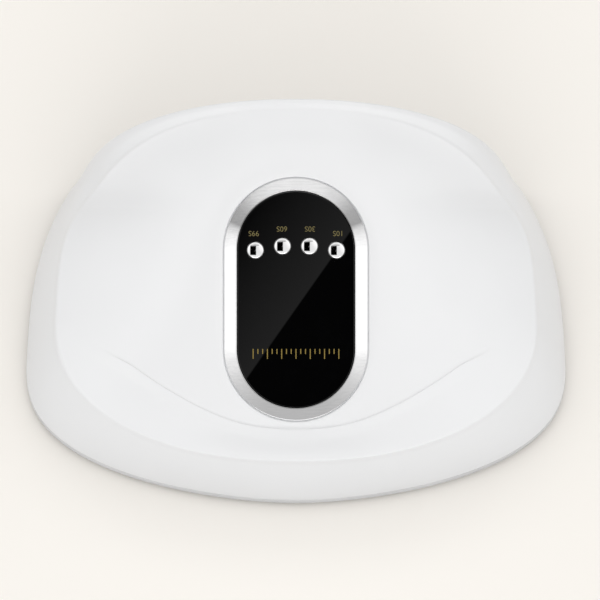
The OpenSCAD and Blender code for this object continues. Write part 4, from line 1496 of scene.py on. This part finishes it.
@dataclass
class BaseTray:
    """The tray under the hood: a plate with rounded edges, a mirror pocket and a centring rib.

    Attributes:
        hood: the hood whose outline it follows. Sizes are in millimetres.
        foot_h: height of the plate's underside.
        edge_points: points of its outline on each side.
        edge_low: points of its lower edge, in from the outline and up from the underside.
        edge_top: points of its upper edge, in from the outline and down from the top.
        rib_in: how far in the centring rib lies.
        rib_t: the rib's thickness.
        rib_h: its height.
        rib_edge: its bevel.
        rib_sink: how far it reaches into the plate.
        rib_back: how far behind the front it ends.
        rib_cut: width and height of the form that cuts it off there, and the form's middle height.
        pocket_gap: gap round the mirror.
        pocket_r: radius of the pocket's rear corners.
        pocket_points: points on each of those corners.
        pocket_h: height of the form that cuts the pocket.
        magnet_leans: leans of the ribs of the hood at which the magnets lie.
        magnet_in: how far in they lie.
        magnet_d: diameter of their pockets.
        magnet_z: height of the pockets' floor.
        foot_r: radius of a rubber foot.
        foot_rear: place across of the rear feet.
        foot_d: diameter of the feet's pockets.
        foot_sink: the pockets' depth.
        over: how far a round cutter reaches beyond the plate.
        round_points: points in a round cutter's rings.
    """

    hood: HoodSkin
    foot_h: float = 2.0
    edge_points: int = 100
    edge_low: Pairs = ((0.9, 0.0), (0.4, 0.08), (0.1, 0.32), (0.0, 0.8))
    edge_top: Pairs = ((0.0, 0.7), (0.08, 0.3), (0.3, 0.08), (0.7, 0.0))
    rib_in: float = 3.6
    rib_t: float = 1.6
    rib_h: float = 2.4
    rib_edge: float = 0.4
    rib_sink: float = 0.5
    rib_back: float = 45.0
    rib_cut: Triple = (300.0, 50.0, 10.0)
    pocket_gap: float = 0.3
    pocket_r: float = 12.3
    pocket_points: int = 24
    pocket_h: float = 10.0
    magnet_leans: Pair = (-9.0, 27.0)
    magnet_in: float = 12.25
    magnet_d: float = 8.3
    magnet_z: float = 3.9
    foot_r: float = 7.0
    foot_rear: float = 70.0
    foot_d: float = 14.3
    foot_sink: float = 0.8
    over: float = 1.0
    round_points: int = 48

    def outline(self, inset: float, front: float) -> np.ndarray:
        """Gives the tray's outline.

        Args:
            inset: how far inside the hood's edge it lies.
            front: how far behind the front edge it ends.

        Returns:
            The points, without a height, in millimetres.
        """
        turns = np.linspace(-self.hood.foot_turn, 90.0, self.edge_points)
        right = [self.hood.edge(float(u), inset) for u in turns]
        limit = -self.hood.depth / 2.0 + front
        half = [(p[0], max(p[1], limit)) for p in right]
        return np.array(half + [(-x, y) for x, y in reversed(half[:-1])])

    def ring(self, inset: float, front: float, z: float) -> np.ndarray:
        """Gives the outline at a height, in metres."""
        flat = self.outline(inset, front)
        return np.column_stack([flat, np.full(len(flat), z)]) * MM

    def pocket(self) -> Piece:
        """Makes the form that cuts the mirror's pocket, from the mirror's own box.

        Returns:
            The form.
        """
        low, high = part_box("base_mirror")
        gap, r = self.pocket_gap * MM, self.pocket_r * MM
        half, back, ahead = high.x + gap, high.y + gap, low.y - gap
        flat = [(half, ahead)]
        for a in np.linspace(0, math.pi / 2, self.pocket_points):
            flat.append((half - r + r * math.cos(a), back - r + r * math.sin(a)))
        flat += [(-x, y) for x, y in reversed(flat)]
        rings = [np.array([(x, y, z) for x, y in flat]) for z in (low.z, low.z + self.pocket_h * MM)]
        return Bench.loft("pocket", rings, capped=True)

    def sink(self, piece: Piece, place: Pair, d: float, span: Pair) -> None:
        """Sinks a round pocket on both sides.

        Args:
            piece: the tray.
            place: the pocket's middle on the right side.
            d: its diameter.
            span: heights of the form that cuts it.
        """
        for side in (-1, 1):
            cut = Bench.lathe("cut", [(d / 2.0, z) for z in span], self.round_points)
            Bench.boolean(piece, Bench.shift(cut, side * place[0], place[1], 0.0))

    def build(self) -> Piece:
        """Models the tray.

        Returns:
            The finished piece.
        """
        low, top = self.foot_h, self.hood.edge_z
        steps = [(within, low + up) for within, up in self.edge_low]
        steps += [(within, top - drop) for within, drop in self.edge_top]
        piece = Bench.loft("tray_plate", [self.ring(i, i, z) for i, z in steps], capped=True)
        near, far, bevel = self.rib_in, self.rib_in + self.rib_t, self.rib_edge
        foot, crest = top - self.rib_sink, top + self.rib_h
        wall = ((near, foot), (near, crest - bevel), (near + bevel, crest))
        wall += ((far - bevel, crest), (far, crest - bevel), (far, foot))
        rib = Bench.loft("rib", [self.ring(i, 2.0 * i, z) for i, z in wall], capped=False)
        wide, high, middle = self.rib_cut
        front = Bench.block(wide, 2.0 * self.rib_back, high)
        Bench.boolean(rib, Bench.shift(front, 0.0, -self.hood.depth / 2.0, middle))
        Bench.boolean(piece, rib, "UNION")
        Bench.boolean(piece, self.pocket())
        for u in self.magnet_leans:
            x, y, _ = self.hood.edge(u, self.magnet_in)
            self.sink(piece, (x, y), self.magnet_d, (self.magnet_z, top + self.over))
        ahead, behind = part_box("rubber_feet")
        fore = (behind.x / MM - self.foot_r, ahead.y / MM + self.foot_r)
        rear = (self.foot_rear, behind.y / MM - self.foot_r)
        for place in (fore, rear):
            self.sink(piece, place, self.foot_d, (low - self.over, low + self.foot_sink))
        Bench.smooth(piece)
        return piece

    def dress(self, piece: Piece) -> None:
        """Gives the tray its pale grey, darkened as painted shade under the hood's rim, and lets it ride."""
        Bench.dress(piece, TRAY_GREY_PAINTED_SHADE)
        Bench.mount(piece, "base", "tray_white", ["base_tray"])


@dataclass
class LedField:
    """The LEDs of the hand chamber: clear domes over yellow chips, in rows on five faces.

    Attributes:
        d: a LED's diameter, in millimetres as all sizes here.
        wall: thickness of the wall that it sits in.
        sink: how far its dome stands out of the wall.
        pitch: distance between LEDs.
        row: distance between the roof's rows.
        roof: y and z of the roof at its front, its bend and its rear.
        front_shift: how far the front rows lie behind the middle of their face.
        side_row: distance between the rows of a side.
        side_foot: place of a sloped side's foot, and the middle of its LEDs along y.
        side_slope: the slope's run and rise.
        side_in: how far in from the foot the rows' middle lies.
        rear_foot: height at which the rear face's lit part begins.
        rear_lean: how far the rear face leans.
        points: points in the rings of the dome, the cup and the chip.
        sharp: angle from which an edge stays sharp, in degrees.
    """

    d: float = 5.2
    wall: float = 2.0
    sink: float = 0.75
    pitch: float = 20.0
    row: float = 24.0
    roof: Pairs = ((-78.0, 65.0), (-20.0, 57.85), (45.0, 27.54))
    front_shift: float = 5.0
    side_row: float = 12.0
    side_foot: Triple = (80.0, -40.0, 32.0)
    side_slope: Pair = (40.0, 43.3)
    side_in: float = 11.0
    rear_foot: float = 11.5
    rear_lean: float = 3.0
    points: Tuple[int, int, int] = (28, 24, 8)
    sharp: float = 40.0

    @staticmethod
    def put(x: float, y: float, z: float, axis: str, angle: float) -> Matrix:
        """Gives a face's place from a point and a turn."""
        return Matrix.Translation(Vector((x, y, z)) * MM) @ Matrix.Rotation(angle, 4, axis)

    def slope(self, i: int) -> Matrix:
        """Gives the place of one of the roof's two slopes."""
        (y, z), (y_end, z_end) = self.roof[i:i + 2]
        return self.put(0, (y + y_end) / 2, (z + z_end) / 2, "X", math.atan2(z_end - z, y_end - y))

    def faces(self) -> Dict[str, Tuple[Matrix, List[Pair]]]:
        """Finds the lit faces and the LEDs on them.

        Returns:
            For each face its place, with z out of the chamber, and its LEDs' places on it.
        """
        wide = range(-2, 3)
        rows = [(x * self.pitch, y * self.row) for x in wide for y in (-0.5, 0.5)]
        shifted = [(x, y + self.front_shift) for x, y in rows]
        out = {"front": (self.slope(0), shifted), "roof": (self.slope(1), rows)}
        x, y, z = self.side_foot
        run, rise = self.side_slope
        sides = [(a * self.side_row, b * self.pitch) for a in (-0.5, 0.5) for b in (-1, 0, 1)]
        for name, s in (("left", -1), ("right", 1)):
            high = z + self.side_in * rise / run
            out[name] = (self.put(s * (x - self.side_in), y, high, "Y", s * math.atan2(rise, run)), sides)
        rear, top = self.roof[2]
        mid = (self.rear_foot + top) / 2
        turn = math.radians(-90) + math.atan2(self.rear_lean, top)
        back = self.put(0, rear + self.rear_lean * (1 - mid / top), mid, "X", turn)
        out["rear"] = (back, [(x * self.pitch, 0.0) for x in wide])
        return out

    def pattern(self) -> Piece:
        """Models one LED: a cup with its chip, under a clear dome.

        Returns:
            The LED, with a finish for each part.
        """
        r, wall = self.d / 2.0, self.wall
        dome = [(r - 0.15, wall - 0.02), (r, wall - 0.2), (r, -self.sink)]
        dome += [(r * math.cos(a), -self.sink - r * math.sin(a)) for a in np.linspace(0.15, 1.52, 9)]
        cup = [(r - 0.2, wall - 0.1), (r - 0.2, 0.9), (r - 0.5, 0.75), (r - 1.1, 1.5), (0.4, 1.55)]
        chip = [(0.95, 1.6), (0.95, 1.3), (0.8, 1.12), (0.3, 1.05)]
        made = []
        parts = ((dome, LED_LENS), (cup, LED_CUP), (chip, LED_CHIP))
        for (profile, finish), count in zip(parts, self.points):
            made.append(Bench.lathe(finish.name, profile, count))
            Bench.dress(made[-1], finish)
        piece = Bench.join(made, "led_pattern")
        Bench.smooth(piece, self.sharp)
        return piece

    def build(self) -> None:
        """Models one LED and copies it to every place, one piece for each face."""
        pattern = self.pattern()
        for name, (face, places) in self.faces().items():
            made = []
            for i, (x, y) in enumerate(places):
                place = face @ Matrix.Translation(Vector((x, y, 0.0)) * MM)
                made.append(Bench.copy(pattern, f"led_{name}_{i}", place))
            Bench.mount(Bench.join(made, f"led_row_{name}"), "hood", "led_clear", [f"leds_{name}"])
        Bench.drop(pattern)


@dataclass
class Fixings:
    """The screws under the hood and the power inlet in its front face.

    Attributes:
        hood: the hood that takes the screws. Sizes are in millimetres.
        flange_z: height of the flange under the screws' heads.
        head_d: diameter of a head.
        head_h: its height.
        head_rim: height of its straight rim.
        shaft_d: diameter of the shaft.
        reach: its length.
        drive: length, width and height of the form that cuts each slot of the drive.
        drive_up: how far that form's middle lies below the head.
        twist: turn from one screw to the next, in radians.
        screw_points: points in a screw's rings.
        inlet_d: diameter of the inlet's mouth.
        mouth: length of the mouth, ahead of the block.
        block: width and height of the inlet's block.
        block_edge: the block's bevel.
        bore_d: diameter of the bore.
        bore_l: its depth.
        bore_more: how much deeper the bore is cut.
        bore_gap: gap between the bore and the block round it.
        bore_points: points in the bore's rings.
        pin_d: diameter of the centre pin.
        pin_points: points in the pin's rings.
    """

    hood: HoodSkin
    flange_z: float = 9.0
    head_d: float = 5.2
    head_h: float = 1.8
    head_rim: float = 0.5
    shaft_d: float = 2.4
    reach: float = 13.0
    drive: Triple = (2.7, 0.55, 2.0)
    drive_up: float = 0.1
    twist: float = 0.7
    screw_points: int = 40
    inlet_d: float = 8.0
    mouth: float = 2.4
    block: Pair = (10.0, 11.0)
    block_edge: float = 0.4
    bore_d: float = 5.5
    bore_l: float = 9.0
    bore_more: float = 0.4
    bore_gap: float = 0.02
    bore_points: int = 56
    pin_d: float = 2.0
    pin_points: int = 28

    def screws(self) -> None:
        """Models one cross-head screw and copies it to each boss."""
        r, shaft, rim = self.head_d / 2.0, self.shaft_d / 2.0, self.head_rim
        profile = [(0.4, self.reach), (shaft, self.reach - 0.6), (shaft, 0.0), (r - 0.1, 0.0), (r, -0.15)]
        for a in np.linspace(0.0, 1.35, 7):
            profile.append((r * math.cos(a), -rim - (self.head_h - rim) * math.sin(a)))
        pattern = Bench.lathe("screw_pattern", profile, self.screw_points)
        for turn in (0.0, 90.0):
            slot = Bench.block(*self.drive)
            slot.data.transform(Matrix.Rotation(math.radians(turn), 4, "Z"))
            Bench.boolean(pattern, Bench.shift(slot, 0.0, 0.0, -self.head_h - self.drive_up))
        Bench.smooth(pattern)
        Bench.dress(pattern, STEEL)
        made = []
        for i, p in enumerate(self.hood.boss_places()):
            place = Matrix.Translation(Vector((p[0], p[1], self.flange_z)) * MM)
            made.append(Bench.copy(pattern, f"screw_{i}", place @ Matrix.Rotation(self.twist * i, 4, "Z")))
        Bench.drop(pattern)
        Bench.mount(Bench.join(made, "hood_screws"), "hood", "screw_steel", ["housing_screws"])

    def inlet(self) -> None:
        """Models the power inlet: a socket with a bevelled mouth, its block and its centre pin."""
        low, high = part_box("dc_inlet")
        depth = (high.y - low.y) / MM
        r, bore, pin = self.inlet_d / 2.0, self.bore_d / 2.0, self.pin_d / 2.0
        end = self.bore_l + self.bore_more
        profile = [(r, self.mouth), (r, 0.25), (r - 0.25, 0.0), (bore + 0.35, 0.0), (bore, 0.3), (bore, end)]
        socket = Bench.lathe("socket", profile, self.bore_points)
        block = Bench.block(*self.block, depth - self.mouth)
        Bench.only(Bench.shift(block, 0.0, 0.0, (depth + self.mouth) / 2.0))
        bpy.ops.object.mode_set(mode="EDIT")
        bpy.ops.mesh.select_all(action="SELECT")
        bpy.ops.mesh.bevel(offset=self.block_edge * MM, segments=2)
        bpy.ops.object.mode_set(mode="OBJECT")
        hole = [(bore + self.bore_gap, z) for z in (1.0, end)]
        Bench.boolean(block, Bench.lathe("hole", hole, self.bore_points))
        tip = [(pin, end), (pin, 1.9), (pin * 0.86, 1.6), (pin * 0.5, 1.45), (pin * 0.15, 1.4)]
        contact = Bench.lathe("pin", tip, self.pin_points)
        for part, finish in ((socket, INLET_BLACK), (block, INLET_BLACK), (contact, CONTACT)):
            Bench.dress(part, finish)
        piece = Bench.join([socket, block, contact], "power_socket")
        place = Matrix.Translation(Vector(((low.x + high.x) / 2.0, low.y, (low.z + high.z) / 2.0)))
        piece.data.transform(place @ Matrix.Rotation(math.radians(-90.0), 4, "X"))
        Bench.smooth(piece)
        Bench.mount(piece, "hood", "inlet_black", ["dc_inlet"])

    def build(self) -> None:
        """Models the screws and the inlet."""
        self.screws()
        self.inlet()


@dataclass
class KeptNodes:
    """Finishes of the CAD nodes that stay as they are.

    Attributes:
        finishes: the finish of each node.
    """

    finishes: Dict[str, Finish] = field(default_factory=lambda: {
        "base_mirror": MIRROR, "rubber_feet": RUBBER, "tray_magnets": NICKEL, "hood_magnets": NICKEL,
        "inner_liner": LINER_WHITE, "panel_frame": FRAME_GREY, "tact_switches": SWITCH_BLACK,
        "control_board": BOARD_GREEN, "board_screws": STEEL, "timer_display": DISPLAY_DARK,
        "hand_sensor": SENSOR_DARK,
        **{f"plunger_{seconds}": PLUNGER for seconds in ("10s", "30s", "60s", "99s")},
        **{f"led_board_{face}": BOARD_WHITE for face in ("front", "roof", "left", "right", "rear")},
    })

    def dress(self) -> None:
        """Puts each node's finish on its object."""
        for name, finish in self.finishes.items():
            Bench.dress(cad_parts[name], finish)
            LOG.info("%s keeps its CAD shape, finish %s", name, finish.name)


@dataclass(frozen=True)
class Softbox:
    """A soft rectangular light, placed by its turn from the panel's axis.

    Attributes:
        name: the light's name.
        tilt: angle from the axis of the panel, in degrees.
        turn: direction of the tilt, 0 to +X and 90 down the slope, in degrees.
        size: width and height, in metres.
        level: its brightness, where 1 shows white.
        far: distance from the object's middle, in metres.
    """

    name: str
    tilt: float
    turn: float
    size: Pair
    level: float
    far: float = 2.8


@dataclass
class Studio:
    """The floor, the soft light and the camera.

    The world is a pale tent. Rectangles of it round the panel's axis are given by their limits across
    and down the slope, on a plane at distance 1, so that the lens and the keys mirror them.

    Attributes:
        panel: the plane whose axis the camera looks along.
        target: the point that the camera looks at, in metres.
        far: the camera's distance from it.
        elevation: the camera's height, in degrees.
        lens: its focal length, in millimetres.
        sensor: its sensor's width, in millimetres.
        shift: shift of its frame.
        clip: nearest and farthest distance that it sees, in metres.
        floor_size: width of the floor, in metres.
        floor_tone: the floor's colour.
        floor_cast: its colour as other surfaces receive it.
        floor_rough: its roughness.
        floor_scale: scale of its pattern, per metre.
        tint: colour of the tent.
        tent: level of the tent low down and high up.
        tent_span: sines of the heights between which it changes.
        flank: what both sides add.
        flank_span: how far out the sides begin and are full.
        lobe: what the two soft lobes add.
        lobe_tilt: their angle from the axis, in degrees.
        lobe_turns: directions of that tilt, in degrees.
        lobe_span: cosines of the angles at which they begin and are full.
        glow: what the place round the axis adds.
        glow_span: cosines of the angles at which it begins and is full.
        eave: limits of a dimmer rectangle beyond the window.
        eave_level: share of the light that stays there.
        window: limits of the dark window that the lens mirrors.
        edge: width of a rectangle's soft edge.
        least: the least depth along the axis that the rectangles' plane is measured with.
        glint: limits of the slanted sheen in the window.
        sheen: level of the sheen at its line.
        sheen_way: direction across the sheen's line, across and up the slope.
        sheen_edge: half of the line's sharpness.
        sheen_fade: width over which the sheen fades.
        boxes: the softboxes.
    """

    panel: Panel
    target: Triple = (0.0, 0.0, 0.04)
    far: float = 1.1337
    elevation: float = 65.0
    lens: float = 150.0
    sensor: float = 36.0
    shift: Pair = (0.0067, 0.01385)
    clip: Pair = (0.01, 50.0)
    floor_size: float = 12.0
    floor_tone: Rgb = (0.985, 0.952, 0.902)
    floor_cast: Rgb = (0.4, 0.395, 0.385)
    floor_rough: Pair = (0.6, 0.66)
    floor_scale: float = 3.0
    tint: Rgb = (1.0, 0.997, 0.992)
    tent: Pair = (0.91, 0.49)
    tent_span: Pair = (-0.1, 0.8)
    flank: float = 0.4
    flank_span: Pair = (0.6, 0.95)
    lobe: float = 0.37
    lobe_tilt: float = 48.0
    lobe_turns: Pair = (-28.0, 208.0)
    lobe_span: Pair = (0.78, 0.98)
    glow: float = 0.36
    glow_span: Pair = (0.7, 0.85)
    eave: Limits = (-0.22, 0.36, -0.39, -0.3)
    eave_level: float = 0.45
    window: Limits = (-0.036, 0.36, -0.3, 0.3)
    edge: float = 0.012
    least: float = 0.01
    glint: Limits = (-0.036, 0.045, -0.07, 0.07)
    sheen: float = 0.34
    sheen_way: Pair = (0.817, 0.576)
    sheen_edge: float = 0.0003
    sheen_fade: float = 0.04
    boxes: Tuple[Softbox, ...] = (
        Softbox("front_box", 65.0, -90.0, (2.6, 1.0), 1.1),
        Softbox("rear_box", 48.0, 90.0, (2.6, 1.0), 2.7),
    )

    def axis(self, tilt: float, turn: float) -> Vector:
        """Gives a direction tilted away from the panel's axis.

        Args:
            tilt: the angle from the axis, in degrees.
            turn: the tilt's direction, 0 to +X and 90 down the slope, in degrees.

        Returns:
            The direction.
        """
        n, e, f = self.panel.way(0.0, 0.0, 1.0), self.panel.way(1.0, 0.0, 0.0), self.panel.way(0.0, 1.0, 0.0)
        (along, aside), (right, down) = direction(tilt), direction(turn)
        return Vector(n * along + (e * right + f * down) * aside)

    def lights(self) -> None:
        """Hangs the softboxes round the camera's axis."""
        for box in self.boxes:
            Bench.clear()
            way = self.axis(box.tilt, box.turn)
            bpy.ops.object.light_add(type="AREA", location=Vector(self.target) + way * box.far)
            lamp = bpy.context.object
            lamp.name = box.name
            lamp.data.shape = "RECTANGLE"
            lamp.data.size, lamp.data.size_y = box.size
            lamp.data.energy = box.level * math.pi * box.size[0] * box.size[1]
            lamp.rotation_euler = (-way).to_track_quat("-Z", "Y").to_euler()
            lamp.visible_camera = False

    def tent_light(self, graph: Graph, place: Socket) -> Socket:
        """Gives the level of the open tent: paler sides, two soft lobes and a glow round the axis.

        Args:
            graph: the world's graph.
            place: the direction that is lit from.

        Returns:
            The level.
        """
        aside = graph.math("ABSOLUTE", graph.dot(place, Vector((1.0, 0.0, 0.0))))
        more = [(aside, self.flank_span, self.flank)]
        for turn in self.lobe_turns:
            more.append((graph.dot(place, self.axis(self.lobe_tilt, turn)), self.lobe_span, self.lobe))
        more.append((graph.dot(place, self.axis(0.0, 0.0)), self.glow_span, self.glow))
        light = graph.stretch(graph.dot(place, Vector((0.0, 0.0, 1.0))), self.tent_span, self.tent)
        for value, span, level in more:
            light = graph.math("ADD", light, graph.stretch(value, span, (0.0, level)))
        return light

    def world(self) -> None:
        """Makes the tent, with a dark window and a slanted sheen that the lens mirrors."""
        world = bpy.data.worlds.new("tent")
        bpy.context.scene.world = world
        world.use_nodes = True
        graph = Graph(world.node_tree)
        place = graph.add("TexCoord", {}).outputs["Generated"]
        light = self.tent_light(graph, place)
        depth = graph.math("MAXIMUM", graph.dot(place, self.axis(0.0, 0.0)), self.least)
        ways = [graph.dot(place, self.axis(90.0, turn)) for turn in (0.0, 90.0)]
        across, down = [graph.math("DIVIDE", way, depth) for way in ways]
        for limits, level in ((self.eave, self.eave_level), (self.window, 0.0)):
            mask = self.patch(graph, across, down, limits)
            light = graph.math("MULTIPLY", light, graph.stretch(mask, (0.0, 1.0), (1.0, level)))
        right, up = self.sheen_way
        side = graph.math("SUBTRACT", graph.math("MULTIPLY", across, right), graph.math("MULTIPLY", down, up))
        line = graph.stretch(side, (-self.sheen_edge, self.sheen_edge), (0.0, 1.0))
        sheen = graph.math("MULTIPLY", line, graph.stretch(side, (0.0, self.sheen_fade), (self.sheen, 0.0)))
        sheen = graph.math("MULTIPLY", sheen, self.patch(graph, across, down, self.glint))
        strength = graph.math("ADD", light, sheen)
        graph.feed(world.node_tree.nodes["Background"], {"Strength": strength, "Color": (*self.tint, 1.0)})

    def patch(self, graph: Graph, across: Socket, down: Socket, limits: Limits) -> Socket:
        """Marks a rectangle round the camera's axis.

        Args:
            graph: the world's graph.
            across: the place across.
            down: the place down the slope.
            limits: the rectangle's limits across and down.

        Returns:
            The mask, 1 inside the rectangle.
        """
        left, right, low, high = limits
        rise, fall, soft = (0.0, 1.0), (1.0, 0.0), self.edge
        mask = graph.stretch(across, (left, left + soft), rise)
        for value, span, to in ((across, (right - soft, right), fall), (down, (low, low + soft), rise),
                                (down, (high - soft, high), fall)):
            mask = graph.math("MULTIPLY", mask, graph.stretch(value, span, to))
        return mask

    def floor(self) -> None:
        """Lays the pale floor, which throws only part of its light back at the object."""
        Bench.clear()
        bpy.ops.mesh.primitive_plane_add(size=self.floor_size)
        ground = bpy.context.object
        ground.name = "floor"
        tone = self.floor_tone
        finish = Finish("floor_pale", tone, tone, self.floor_rough, scale=self.floor_scale)
        Bench.dress(ground, finish)
        graph = Graph(finish.material().node_tree)
        shader = graph.tree.nodes["Principled BSDF"]
        pale = shader.inputs["Base Color"].links[0].from_socket
        bounce = graph.add("LightPath", {}).outputs["Is Diffuse Ray"]
        mixed = graph.colour(graph.blend(bounce, pale, self.floor_cast))
        graph.feed(shader, {"Base Color": mixed, "Specular IOR Level": 0.0})

    def camera(self) -> None:
        """Sets the camera at the photograph's angle."""
        Bench.clear()
        along, up = direction(self.elevation)
        way = Vector((0.0, along, up))
        bpy.ops.object.camera_add(location=Vector(self.target) + way * self.far)
        eye = bpy.context.object
        eye.rotation_euler = (-way).to_track_quat("-Z", "Y").to_euler()
        eye.data.lens = self.lens
        eye.data.sensor_width = self.sensor
        eye.data.shift_x, eye.data.shift_y = self.shift
        eye.data.clip_start, eye.data.clip_end = self.clip
        bpy.context.scene.camera = eye

    def build(self) -> None:
        """Sets up the whole studio."""
        bpy.context.scene.view_settings.view_transform = "Standard"
        self.camera()
        self.world()
        self.lights()
        self.floor()


def main() -> None:
    """Builds the studio and the lamp's pieces in order."""
    logging.basicConfig(level=logging.INFO, format="%(name)s: %(message)s")
    panel = Panel()
    Studio(panel).build()
    hood = HoodSkin(panel)
    hood.dress(hood.build())
    ControlPanel(panel).build()
    tray = BaseTray(hood)
    tray.dress(tray.build())
    LedField().build()
    Fixings(hood).build()
    KeptNodes().dress()
    Bench.clear()


if __name__ == "__main__":
    main()
